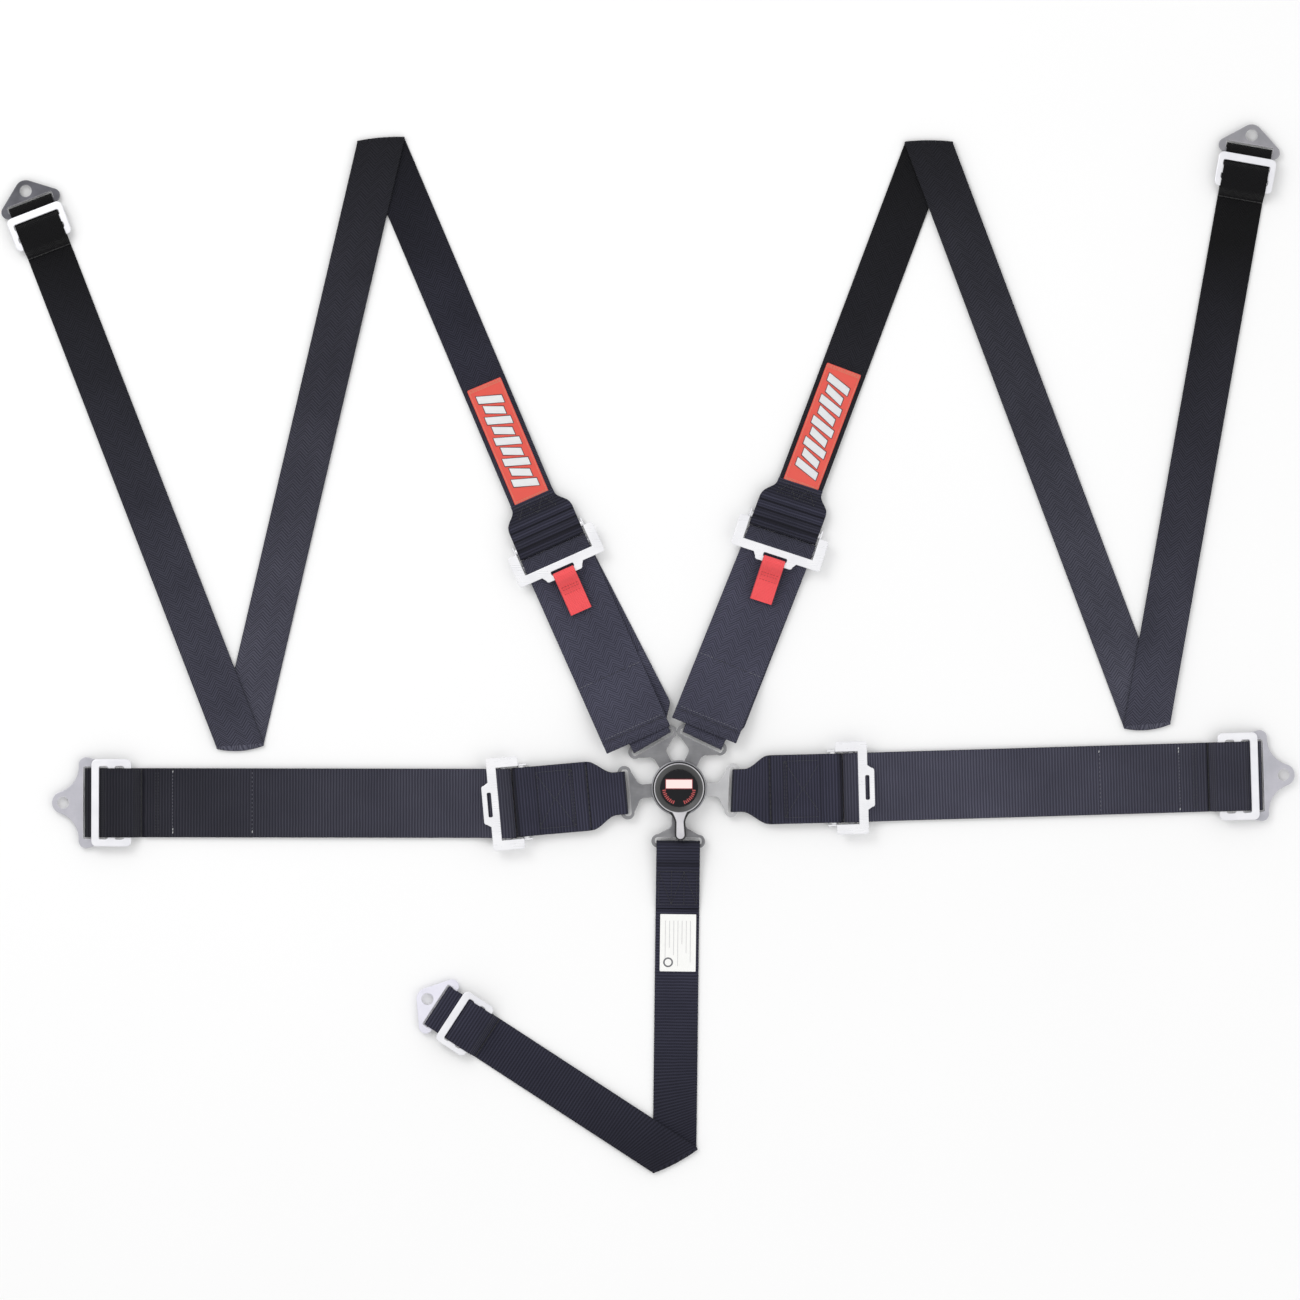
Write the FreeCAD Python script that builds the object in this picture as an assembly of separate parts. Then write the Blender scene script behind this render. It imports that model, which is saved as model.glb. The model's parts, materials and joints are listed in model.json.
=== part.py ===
"""Five-point racing harness laid flat: a cam-lock buckle with five tongues, two lap belts, two shoulder
belts folded in a zigzag and one sub belt. Millimetres, +X towards the right lap bracket, +Y towards the
shoulder belts, +Z out of the buckle's face. The origin is the centre of the buckle's back face. Left and
right are as seen when looking down on the buckle's face."""

import FreeCAD, Part
import math
import os

os.makedirs("parts", exist_ok=True)
Vector = FreeCAD.Vector
UP = Vector(0, 0, 1)

# Webbing
WEBBING = 1.8               # thickness of one layer
WIDE = 38.0                 # half width of the 3 inch belt
NARROW = 25.0               # half width of the 2 inch belt
GATHERED = 23.5             # half width of a wide belt where it is bunched through a tongue
GROUND = 0.2                # clearance under belts that lie flat
OVERLAP = 3.2               # underside of a belt that lies on top of another at a fold

# Buckle
HOUSING_R = 30.4
CAVITY_R = 24.5
BASE_T = 3.0
HOUSING_TOP = 14.5
COVER_T = 2.0
SPINDLE_R = 3.0
SCREW_CIRCLE_R = 27.4
SCREW_R = 1.4
RUNNING = 0.06              # radial clearance of a turning fit
LATCH_R = 21.0              # distance of each latch stud from the spindle
STUD_R = 2.6
CAM_Z = 9.6
CAM_T = 0.8
KNOB_R = 29.0
KNOB_Z = 15.0
KNOB_TOP = 19.0
CAP_R = 20.3
RING_R = 27.0
LEVER_REACH = 57.6
LEVER_HALF = 6.4
TRIM_HALF = 4.8
TRIM_T = 0.8

# Tongues
PLATE_T = 3.0
TONGUE_Z = 7.5              # mid plane of the tongues
TONGUE_NECK = 7.4           # half width of the neck
TONGUE_TIP = 14.0
TONGUE_BAR = 64.0           # distance from the spindle to the belt bar's axis
TONGUE_LOBE_R = 7.5
TONGUE_LOBE_Y = 22.0
BAR_HALF = 2.5              # half width of every flat belt bar
LOOP_IN = 4.5               # inner radius of a belt loop round a tongue bar
LOOP_OUT = LOOP_IN + WEBBING

# Adjuster, measured from its crossbar towards its handle
GRIP_AT = 20.1              # knurled grip bar
GRIP_R = 4.5
WRAP_IN = 4.6
WRAP_OUT = WRAP_IN + WEBBING
CROSSBAR_R = 4.0
CHEEK_IN = 40.0
CHEEK_T = 2.0
LIP_HALF = 51.0
CHEEK_START = -6.5
LIP_START = 2.7
CHEEK_END = 36.7
FRAME_TOP = 16.1
FRAME_T = 2.0
PRESS_START = 27.5          # plate that presses on the belt
PRESS_END = 37.9
HANDLE_END = 45.3
HANDLE_HALF = 21.5
HANDLE_SLOT_HALF = 13.5

# End hardware, measured from the bracket's bolt hole back along the belt
BOLT_R = 6.5
BRACKET_LOOP_IN = 3.1
BRACKET_LOOP_OUT = BRACKET_LOOP_IN + WEBBING
BRACKET_Z = GROUND + BRACKET_LOOP_OUT
SLIDE_Z = 10.2
SLIDE_T = 3.0
SLIDE_BAR = 8.5             # width of each bar of a slide
WIDE_BRACKET_BAR = 35.5
WIDE_SLIDE_LENGTH = 44.0
WIDE_SLIDE_HALF = 48.0
NARROW_BRACKET_BAR = 20.1
NARROW_SLIDE_LENGTH = 38.0
NARROW_SLIDE_HALF = 32.0

# Belt loops and slopes
EYE_REACH = 18.0            # from a bar to where the two layers of its loop meet
EYE_OVERLAP = 4.0           # how far a belt runs into its loop
UPPER_START = TONGUE_Z - WEBBING / 2    # underside of the upper belt at the crossbar
UPPER_FLAT = 205.0          # from the crossbar to where the upper belt lies flat
SUB_FLAT = 60.0             # from the tongue bar to where the sub belt lies flat

# Patch, label and pull tab
PATCH_LENGTH = 138.0
PATCH_HALF = 20.0
PATCH_T = 1.2
PATCH_START = 46.0
LABEL_T = 0.5
TAB_HALF = 12.4
TAB_LENGTH = 46.0
TAB_T = 1.4

# Lay-out in plan: directions in degrees from +X, points in millimetres
TONGUE_ANGLES = {
    "left_lap": 185.1,
    "right_lap": -2.5,
    "left_shoulder": 120.0,
    "right_shoulder": 64.5,
    "sub": -90.8,
}
LAP_CROSSBAR = {"left_lap": (-170.6, -15.2), "right_lap": (169.7, -0.1)}
LAP_BOLT = {"left_lap": (-677.5, -16.1), "right_lap": (665.1, 14.4)}
LAP_TAIL = {"left_lap": 397.0, "right_lap": 391.5}
LAP_SLIDE_GAP = {"left_lap": 31.5, "right_lap": 28.1}
SHOULDER_CROSSBAR = {"left_shoulder": (-143.3, 275.0), "right_shoulder": (117.1, 289.0)}
SHOULDER_HANDLE_ANGLE = {"left_shoulder": 294.0, "right_shoulder": 252.0}
SHOULDER_TAIL_ANGLE = {"left_shoulder": 294.0, "right_shoulder": 248.0}
SHOULDER_TAIL = 222.0
SHOULDER_FOLDS = {
    "left_shoulder": ((-328.0, 712.0), (-483.0, 47.0)),
    "right_shoulder": ((275.0, 709.0), (515.0, 70.0)),
}
SHOULDER_BOLT = {"left_shoulder": (-718.6, 656.7), "right_shoulder": (630.0, 718.0)}
SHOULDER_SLIDE_GAP = 23.0
SUB_FOLD = (-5.0, -409.0)
SUB_BOLT = (-276.7, -232.1)
SUB_SLIDE_GAP = 30.0


class Course:
    """A straight stretch in plan: local X runs along it from its start and local Y points to its left."""

    def __init__(self, start, angle):
        self.start = start
        self.angle = angle

    def at(self, along, across=0.0):
        turn = math.radians(self.angle)
        x = self.start[0] + along * math.cos(turn) - across * math.sin(turn)
        y = self.start[1] + along * math.sin(turn) + across * math.cos(turn)
        return (x, y)

    def place(self, shape):
        placed = shape.copy()
        placed.rotate(Vector(0, 0, 0), UP, self.angle)
        placed.translate(Vector(self.start[0], self.start[1], 0))
        return placed


def course_between(start, end):
    """The course from one point to another, and its length."""
    dx = end[0] - start[0]
    dy = end[1] - start[1]
    return Course(start, math.degrees(math.atan2(dy, dx))), math.hypot(dx, dy)


def crease_lean(course_in, course_out, course):
    """How far a flat fold's crease runs along `course` for each millimetre across it."""
    first = math.radians(course_in.angle)
    second = math.radians(course_out.angle)
    crease = math.atan2(math.sin(first) + math.sin(second), math.cos(first) + math.cos(second))
    return 1 / math.tan(crease - math.radians(course.angle))


def save(name, shape):
    shape.exportStep("parts/" + name + ".step")


def block(x0, x1, half, z0, z1):
    """A box symmetric about the local X axis."""
    return Part.makeBox(x1 - x0, 2 * half, z1 - z0, Vector(x0, -half, z0))


def post(x, y, z0, z1, radius):
    """An upright round bar."""
    return Part.makeCylinder(radius, z1 - z0, Vector(x, y, z0), UP)


def rod(x, z, half, radius):
    """A round bar lying across the belt."""
    return Part.makeCylinder(radius, 2 * half, Vector(x, -half, z), Vector(0, 1, 0))


def plan(points, z0, z1):
    """A flat plate from its corners in plan."""
    corners = [Vector(x, y, z0) for x, y in points]
    face = Part.Face(Part.makePolygon(corners + corners[:1]))
    return face.extrude(Vector(0, 0, z1 - z0))


def side(points, half):
    """A bar across the belt from the corners of its side view."""
    corners = [Vector(x, -half, z) for x, z in points]
    face = Part.Face(Part.makePolygon(corners + corners[:1]))
    return face.extrude(Vector(0, 2 * half, 0))


def curved_plate(start, steps, z0, z1):
    """A plate symmetric about local X. Each step is a point for a line, or (middle, end) for an arc."""
    here = Vector(start[0], start[1], z0)
    edges = []
    for step in steps:
        if isinstance(step[0], tuple):
            middle = Vector(step[0][0], step[0][1], z0)
            there = Vector(step[1][0], step[1][1], z0)
            edges.append(Part.Arc(here, middle, there).toShape())
        else:
            there = Vector(step[0], step[1], z0)
            edges.append(Part.LineSegment(here, there).toShape())
        here = there
    edges.append(Part.LineSegment(here, Vector(start[0], start[1], z0)).toShape())
    half = Part.Face(Part.Wire(edges)).extrude(Vector(0, 0, z1 - z0))
    return half.fuse(half.mirror(Vector(0, 0, 0), Vector(0, 1, 0))).removeSplitter()


def on_circle(centre, radius, degrees):
    """A point on a circle in plan."""
    turn = math.radians(degrees)
    return (centre[0] + radius * math.cos(turn), centre[1] + radius * math.sin(turn))


def hollow_blend(first, first_r, second, second_r, radius):
    """Start, middle and end of the concave arc that touches two circles from their left side."""
    dx = second[0] - first[0]
    dy = second[1] - first[1]
    apart = math.hypot(dx, dy)
    near = first_r + radius
    along = (near**2 - (second_r + radius) ** 2 + apart**2) / (2 * apart)
    out = math.sqrt(near**2 - along**2)
    x = first[0] + (along * dx - out * dy) / apart
    y = first[1] + (along * dy + out * dx) / apart
    to_first = math.degrees(math.atan2(first[1] - y, first[0] - x))
    to_second = math.degrees(math.atan2(second[1] - y, second[0] - x))
    middle = (to_first + to_second) / 2
    return [on_circle((x, y), radius, angle) for angle in (to_first, middle, to_second)]


def rounded_slot(x0, x1, half, radius, z0, z1):
    """A slot across the belt with rounded corners, as a cutter."""
    slot = block(x0, x1, half, z0, z1)
    upright = [e for e in slot.Edges if abs(e.tangentAt(e.FirstParameter).z) > 0.9]
    return slot.makeFillet(radius, upright)


def softened(shape, radius, z):
    """The shape with the edges that lie at height z rounded."""
    rim = [e for e in shape.Edges if e.BoundBox.ZMin > z - 0.01 and e.BoundBox.ZMax < z + 0.01]
    return shape.makeFillet(radius, rim)


def ribbon(points, half):
    """One layer of webbing whose side view follows a line through the points, rounded at its bends."""
    line = Part.makePolygon([Vector(x, -half, z) for x, z in points])
    outline = line.makeOffset2D(WEBBING / 2)
    return Part.Face(outline).extrude(Vector(0, 2 * half, 0))


def eye(x, z, inner, reach, half, toward, layer=WEBBING):
    """A belt's closed loop round a bar, narrowing to two layers `reach` away (`toward` is 1 or -1)."""
    outer = inner + layer
    far = x + toward * reach
    solid = rod(x, z, half, outer)
    solid = solid.fuse(side([(x, z + outer), (far, z + layer), (far, z - layer), (x, z - outer)], half))
    solid = solid.cut(side([(x, z + inner), (far - toward * layer, z), (x, z - inner)], half))
    return solid.cut(rod(x, z, half, inner))


def tilted(shape, length, z_start, z_end):
    """A level shape tipped about its start so that it falls from one height to the other over the length."""
    tipped = shape.copy()
    fall = math.degrees(math.atan2(z_start - z_end, length))
    tipped.rotate(Vector(0, 0, z_start), Vector(0, 1, 0), fall)
    return tipped


def leg(start, end, lean_start, lean_end, half, z_start, z_end):
    """One straight layer of belt whose ends are cut along the creases where it folds over."""
    corners = [
        (start - lean_start * half, -half),
        (end - lean_end * half, -half),
        (end + lean_end * half, half),
        (start + lean_start * half, half),
    ]
    return tilted(plan(corners, z_start, z_start + WEBBING), end - start, z_start, z_end)


def gathering(length, start_half, full_half, narrow_until, full_from):
    """The plan of a belt that widens from a bunched end, as a cutter to keep what is inside it."""
    margin = 10.0
    end = length + margin
    edge = [(-margin, start_half), (narrow_until, start_half), (full_from, full_half), (end, full_half)]
    other = [(x, -y) for x, y in reversed(edge)]
    return plan(edge + other, -margin, 4 * margin)


# ---- Buckle ----

def wall_angles():
    """Directions midway between neighbouring tongues, where the housing screws stand."""
    around = sorted(angle % 360 for angle in TONGUE_ANGLES.values())
    following = around[1:] + [around[0] + 360]
    return [(a + b) / 2 for a, b in zip(around, following)]


def polar(radius, angle):
    turn = math.radians(angle)
    return radius * math.cos(turn), radius * math.sin(turn)


def buckle_base():
    """Back plate with a blind bearing for the spindle, screw holes and the fixed tongue's stud."""
    plate = softened(post(0, 0, 0, BASE_T, HOUSING_R), 0.8, 0)
    plate = plate.cut(post(0, 0, 1.0, BASE_T, SPINDLE_R + RUNNING))
    for angle in wall_angles():
        x, y = polar(SCREW_CIRCLE_R, angle)
        plate = plate.cut(post(x, y, 0, BASE_T, SCREW_R + 0.1))
        plate = plate.cut(Part.makeCone(2.9, SCREW_R, 1.7, Vector(x, y, 0)))
    x, y = polar(LATCH_R, TONGUE_ANGLES["left_lap"])
    return plate.fuse(post(x, y, BASE_T, CAM_Z - 0.3, STUD_R))


def buckle_housing():
    """Round shell with a window for each tongue and tapped holes for the screws."""
    shell = softened(post(0, 0, BASE_T, HOUSING_TOP, HOUSING_R), 1.2, HOUSING_TOP)
    shell = shell.cut(post(0, 0, BASE_T, HOUSING_TOP - COVER_T, CAVITY_R))
    shell = shell.cut(post(0, 0, BASE_T, HOUSING_TOP, 2 * SPINDLE_R))
    clearance = 0.3
    low = TONGUE_Z - PLATE_T / 2 - clearance
    high = TONGUE_Z + PLATE_T / 2 + clearance
    for angle in TONGUE_ANGLES.values():
        window = block(CAVITY_R / 2, HOUSING_R + 2, TONGUE_NECK + clearance, low, high)
        shell = shell.cut(Course((0, 0), angle).place(window))
    for angle in wall_angles():
        x, y = polar(SCREW_CIRCLE_R, angle)
        shell = shell.cut(post(x, y, BASE_T, 10.0, SCREW_R + 0.1))
    return shell


def housing_screws():
    """Countersunk screws that hold the base plate to the housing."""
    screws = []
    for angle in wall_angles():
        x, y = polar(SCREW_CIRCLE_R, angle)
        head = Part.makeCone(2.6, SCREW_R, 1.4, Vector(x, y, 0.2))
        screw = head.fuse(post(x, y, 1.6, 9.4, SCREW_R))
        screws.append(screw.cut(post(x, y, 0.2, 0.9, 1.0)))
    return Part.makeCompound(screws)


def spindle():
    return post(0, 0, 1.1, KNOB_Z + 1.0, SPINDLE_R)


def release_cam():
    """Hub and disc that turn with the lever; its pockets take the studs while the tongues are locked."""
    cam = post(0, 0, CAM_Z, CAM_Z + CAM_T, CAVITY_R - 1.0)
    cam = cam.fuse(post(0, 0, 4.6, CAM_Z, 2 * SPINDLE_R))
    for angle in TONGUE_ANGLES.values():
        x, y = polar(LATCH_R, angle)
        cam = cam.cut(post(x, y, CAM_Z, CAM_Z + CAM_T, STUD_R + 0.4))
    return cam.cut(post(0, 0, 0, HOUSING_TOP, SPINDLE_R + RUNNING))


def latch_springs():
    """Leaf-spring spider with a stud on each finger, one for every tongue that releases."""
    z = BASE_T + 0.3
    leaf = 0.6
    spider = post(0, 0, z, z + leaf, 10.0)
    for name, angle in TONGUE_ANGLES.items():
        if name == "left_lap":
            continue
        finger = block(5.0, LATCH_R + 2.8, 3.0, z, z + leaf)
        finger = finger.fuse(post(LATCH_R, 0, z, CAM_Z - 0.3, STUD_R))
        spider = spider.fuse(Course((0, 0), angle).place(finger))
    return spider.cut(post(0, 0, z, z + leaf, 2 * SPINDLE_R)).removeSplitter()


def return_spring():
    """Torsion coil round the spindle between the cam and the housing's cover."""
    wire = 0.3
    coil_r = 8.0
    z = CAM_Z + CAM_T + wire + 0.1
    helix = Part.makeHelix(0.8, 1.2, coil_r)
    helix.translate(Vector(0, 0, z))
    section = Part.Wire(Part.makeCircle(wire, Vector(coil_r, 0, z), Vector(0, 1, 0)))
    return Part.Wire(helix.Edges).makePipeShell([section], True, True)


def lever_course():
    """The lever hangs beside the sub belt, a little off straight down."""
    return Course((0, 0), -88.3)


def release_lever():
    """Round dished knob with the release lever cast on."""
    rim = RING_R + 0.6
    profile = [
        (0, KNOB_Z),
        (KNOB_R, KNOB_Z),
        (KNOB_R, KNOB_TOP - 1.5),
        (rim, KNOB_TOP),
        (RING_R - 1.4, KNOB_TOP),
        (CAP_R + 0.6, KNOB_TOP - 1.6),
        (CAP_R + 0.2, KNOB_TOP - 2.4),
        (0, KNOB_TOP - 2.4),
    ]
    face = Part.Face(Part.makePolygon([Vector(r, 0, z) for r, z in profile + profile[:1]]))
    knob = face.revolve(Vector(0, 0, 0), UP, 360)
    tip = LEVER_REACH - LEVER_HALF
    arm = curved_plate(
        (24.0, 0),
        [
            (24.0, 15.6),
            ((29.6, 9.2), (37.0, LEVER_HALF - 0.6)),
            (tip, LEVER_HALF),
            (on_circle((tip, 0), LEVER_HALF, 45), (LEVER_REACH, 0)),
        ],
        KNOB_Z,
        KNOB_TOP,
    )
    arm = arm.cut(post(0, 0, KNOB_Z, KNOB_TOP, rim - 0.1))
    lever = knob.fuse(lever_course().place(arm))
    return lever.cut(post(0, 0, KNOB_Z, KNOB_Z + 1.2, SPINDLE_R + RUNNING))


def lever_trim():
    """Bright ring round the knob's rim, in one piece with the bright face of the lever."""
    ring = post(0, 0, KNOB_TOP, KNOB_TOP + TRIM_T, RING_R + 0.5)
    ring = ring.cut(post(0, 0, KNOB_TOP, KNOB_TOP + TRIM_T, RING_R - 0.5))
    end_r = TRIM_HALF - 0.3
    tip = LEVER_REACH - 1.8 - end_r
    arm = curved_plate(
        (RING_R - 0.4, 0),
        [
            (RING_R - 2.6, 9.4),
            ((31.0, 5.8), (37.0, TRIM_HALF - 0.9)),
            (tip, end_r),
            (on_circle((tip, 0), end_r, 45), (tip + end_r, 0)),
        ],
        KNOB_TOP,
        KNOB_TOP + TRIM_T,
    )
    arm = arm.cut(post(0, 0, KNOB_TOP, KNOB_TOP + TRIM_T, RING_R - 0.5))
    return ring.fuse(lever_course().place(arm)).removeSplitter()


def cap_disc():
    disc = post(0, 0, KNOB_TOP - 2.3, KNOB_TOP - 0.9, CAP_R)
    return softened(disc, 0.5, KNOB_TOP - 0.9)


# ---- Tongues ----

def tongue():
    """Stamped tongue along local X: neck with a latch hole, bell flare with two lobes, and a belt slot."""
    low = TONGUE_Z - PLATE_T / 2
    high = TONGUE_Z + PLATE_T / 2
    end = TONGUE_BAR + BAR_HALF
    lobe_x = end - 8.0
    slant = math.radians(30)
    plate = curved_plate(
        (TONGUE_TIP, 0),
        [
            (TONGUE_TIP, 5.0),
            (TONGUE_TIP + 3.0, TONGUE_NECK),
            (39.5, TONGUE_NECK),
            ((43.4, 9.0), (46.0, 13.0)),
            (lobe_x - TONGUE_LOBE_R, TONGUE_LOBE_Y),
            (
                (lobe_x - 3.0, TONGUE_LOBE_Y + math.sqrt(TONGUE_LOBE_R**2 - 9.0)),
                (lobe_x + TONGUE_LOBE_R * math.cos(slant), TONGUE_LOBE_Y + TONGUE_LOBE_R * math.sin(slant)),
            ),
            (end, TONGUE_LOBE_Y),
            (end, 0),
        ],
        low,
        high,
    )
    plate = softened(softened(plate, 0.6, high), 0.6, low)
    plate = plate.cut(rounded_slot(54.5, TONGUE_BAR - BAR_HALF, 25.5, 2.4, low, high))
    return plate.cut(post(LATCH_R, 0, low, high, STUD_R + 0.5))


# ---- Adjuster, local X from the crossbar to the handle ----

def adjuster_frame():
    """Pressed frame: crossbar, two cheeks with outward lips, a plate over the belt and a slotted handle."""
    under = FRAME_TOP - FRAME_T
    top = curved_plate(
        (PRESS_START, 0),
        [
            (PRESS_START, CHEEK_IN),
            (LIP_START, CHEEK_IN),
            (LIP_START, LIP_HALF - 3.0),
            ((LIP_START + 0.9, LIP_HALF - 0.9), (LIP_START + 3.0, LIP_HALF)),
            (PRESS_END - 3.0, LIP_HALF),
            ((PRESS_END - 0.9, LIP_HALF - 0.9), (PRESS_END, LIP_HALF - 3.0)),
            (PRESS_END, HANDLE_HALF + 3.0),
            (HANDLE_END - 3.0, HANDLE_HALF),
            ((HANDLE_END - 0.9, HANDLE_HALF - 0.9), (HANDLE_END, HANDLE_HALF - 3.0)),
            (HANDLE_END, 0),
        ],
        under,
        FRAME_TOP,
    )
    top = softened(top, 0.7, FRAME_TOP)
    top = top.cut(rounded_slot(PRESS_END - 2.7, PRESS_END + 1.8, HANDLE_SLOT_HALF, 1.5, under, FRAME_TOP))
    cheek_half = CHEEK_IN + CHEEK_T
    cheeks = block(LIP_START, CHEEK_END, cheek_half, 2.0, under + 0.5)
    cheeks = cheeks.fuse(block(CHEEK_START, LIP_START, cheek_half, 2.0, 12.0))
    cheeks = cheeks.cut(block(CHEEK_START, CHEEK_END, CHEEK_IN, 2.0, FRAME_TOP))
    cheeks = cheeks.cut(rod(GRIP_AT, TONGUE_Z, cheek_half, GRIP_R - 2.0 + RUNNING))
    crossbar = rod(0, TONGUE_Z, CHEEK_IN + 1.0, CROSSBAR_R)
    return top.fuse([cheeks, crossbar]).removeSplitter()


def grip_bar():
    """Fluted bar that the belt turns round, with a journal at each end."""
    bar = rod(GRIP_AT, TONGUE_Z, CHEEK_IN - 0.4, GRIP_R)
    flutes = 12
    for i in range(flutes):
        x, z = on_circle((GRIP_AT, TONGUE_Z), GRIP_R, 360 * i / flutes)
        bar = bar.cut(rod(x, z, CHEEK_IN, 0.5))
    return bar.fuse(rod(GRIP_AT, TONGUE_Z, CHEEK_IN + CHEEK_T + 0.8, GRIP_R - 2.0))


def belt_turn(adjuster, belt, stub):
    """The belt's half turn round the grip bar, its two ends trimmed square to the belt's own course."""
    turn = rod(GRIP_AT, TONGUE_Z, WIDE, WRAP_OUT).cut(rod(GRIP_AT, TONGUE_Z, WIDE, WRAP_IN))
    turn = turn.cut(block(GRIP_AT, GRIP_AT + 10.0, WIDE, 0, 20.0))
    ends = block(GRIP_AT, GRIP_AT + 14.0, WIDE, TONGUE_Z - WRAP_OUT, TONGUE_Z + WRAP_OUT)
    ends = ends.cut(block(GRIP_AT, GRIP_AT + 14.0, WIDE, TONGUE_Z - WRAP_IN, TONGUE_Z + WRAP_IN))
    turn = adjuster.place(turn.fuse(ends))
    return turn.cut(belt.place(block(stub, 60.0, 2 * WIDE, -1.0, 20.0)))


def pull_tab():
    """Short loop of narrow belt through the handle's slot, hanging over the tail."""
    axis_x = HANDLE_END - 2.8
    axis_z = FRAME_TOP - FRAME_T / 2
    tab = eye(axis_x, axis_z, 3.0, 11.0, TAB_HALF, 1, TAB_T)
    tab = tab.fuse(block(axis_x + 11.0, axis_x + TAB_LENGTH, TAB_HALF, axis_z - TAB_T, axis_z + TAB_T))
    tab.rotate(Vector(axis_x, 0, axis_z), Vector(0, 1, 0), 9.0)
    return tab


# ---- End hardware, local X from the bolt hole back along the belt ----

def slide_window(length):
    """Length of each of a slide's two windows."""
    return (length - 3 * SLIDE_BAR) / 2


def three_bar_slide(gap, length, half):
    """Flat slide with three bars, its outer bar `gap` away from the bolt."""
    rail = half / 8 + 2
    slide = block(gap, gap + length, half, SLIDE_Z, SLIDE_Z + SLIDE_T)
    corners = [e for e in slide.Edges if abs(e.tangentAt(e.FirstParameter).z) > 0.9]
    slide = slide.makeFillet(6.0, corners)
    window = slide_window(length)
    for start in (gap + SLIDE_BAR, gap + 2 * SLIDE_BAR + window):
        slide = slide.cut(rounded_slot(start, start + window, half - rail, 2.0, SLIDE_Z, SLIDE_Z + SLIDE_T))
    return softened(slide, 1.0, SLIDE_Z + SLIDE_T)


def wide_bracket():
    """Wing-shaped anchor plate for a lap belt: a round nose swept into two lobes beside the belt slot."""
    low = BRACKET_Z - PLATE_T / 2
    high = BRACKET_Z + PLATE_T / 2
    nose = 12.1
    lobe = (25.2, 42.0)
    lobe_r = 8.0
    end = WIDE_BRACKET_BAR + BAR_HALF
    from_nose, hollow, to_lobe = hollow_blend((0, 0), nose, lobe, lobe_r, 30.0)
    shoulder = on_circle(lobe, lobe_r, 75)
    plate = curved_plate(
        (-nose, 0),
        [
            (on_circle((0, 0), nose, 145), from_nose),
            (hollow, to_lobe),
            (on_circle(lobe, lobe_r, 125), shoulder),
            (end, shoulder[1] - (end - shoulder[0]) * math.tan(math.radians(15))),
            (end, 0),
        ],
        low,
        high,
    )
    plate = softened(softened(plate, 0.6, high), 0.6, low)
    plate = plate.cut(rounded_slot(22.0, WIDE_BRACKET_BAR - BAR_HALF, CHEEK_IN, 2.5, low, high))
    return plate.cut(post(0, 0, low, high, BOLT_R))


def narrow_bracket():
    """Triangular anchor plate with rounded corners for a 2 inch belt."""
    low = BRACKET_Z - PLATE_T / 2
    high = BRACKET_Z + PLATE_T / 2
    nose = 12.0
    lobe = 7.5
    end = NARROW_BRACKET_BAR + BAR_HALF
    lobe_x = end - lobe
    lobe_y = 26.5
    span = math.hypot(lobe_x, lobe_y)
    normal = math.atan2(lobe_y, lobe_x) + math.acos((nose - lobe) / span)
    normal_degrees = math.degrees(normal)
    plate = curved_plate(
        (-nose, 0),
        [
            (on_circle((0, 0), nose, 90 + normal_degrees / 2), on_circle((0, 0), nose, normal_degrees)),
            (lobe_x + lobe * math.cos(normal), lobe_y + lobe * math.sin(normal)),
            ((lobe_x + lobe * 0.5, lobe_y + lobe * math.sqrt(0.75)), (end, lobe_y)),
            (end, 0),
        ],
        low,
        high,
    )
    plate = softened(softened(plate, 0.6, high), 0.6, low)
    plate = plate.cut(rounded_slot(10.0, NARROW_BRACKET_BAR - BAR_HALF, NARROW + 1.2, 1.5, low, high))
    return plate.cut(post(0, 0, low, high, BOLT_R))


def end_webbing(bar, gap, length, half, foot):
    """The belt's end: round the bracket's bar, under the slide's outer bar, over the other two, to a hem.
    Its lower layer runs on below to `foot`."""
    inner = BRACKET_LOOP_IN
    ring = rod(bar, BRACKET_Z, half, BRACKET_LOOP_OUT).cut(rod(bar, BRACKET_Z, half, inner))
    ring = ring.cut(block(bar, bar + 10.0, half, 0, 20.0))
    under_bar = BRACKET_Z + inner + WEBBING / 2
    over_bars = SLIDE_Z + SLIDE_T + WEBBING / 2 + 0.2
    far = gap + length
    climb = gap + SLIDE_BAR + slide_window(length) / 2
    top = ribbon(
        [
            (bar + WEBBING / 2, under_bar),
            (climb - 2.45, under_bar),
            (climb + 2.45, over_bars),
            (far + 1.5, over_bars),
            (far + 8.5, GROUND + 2.3 * WEBBING),
            (far + 9.5, GROUND + 2 * WEBBING),
        ],
        half,
    )
    top = top.cut(block(bar - 5.0, bar, half, 0, 20.0))
    top = top.fuse(block(bar, bar + 3.0, half, under_bar - WEBBING / 2, under_bar + WEBBING / 2))
    bottom = block(bar, foot, half, GROUND, GROUND + WEBBING)
    return ring.fuse([top, bottom])


# ---- Belts ----

def bar_point(name):
    """Where a tongue's belt bar stands in plan."""
    return Course((0, 0), TONGUE_ANGLES[name]).at(TONGUE_BAR)


def lap_adjuster(name):
    """The adjuster of a lap belt lies along the sewn loop's course."""
    course, length = course_between(bar_point(name), LAP_CROSSBAR[name])
    return Course(LAP_CROSSBAR[name], course.angle)


def lap_belt(name):
    """The course of a lap belt's adjustable part, from its grip bar to its bolt, and its length."""
    return course_between(lap_adjuster(name).at(GRIP_AT), LAP_BOLT[name])


def tongue_eye(name, half):
    """A belt's loop round its tongue's bar, square to the tongue."""
    return Course(bar_point(name), TONGUE_ANGLES[name]).place(eye(0, TONGUE_Z, LOOP_IN, EYE_REACH, half, 1))


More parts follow.
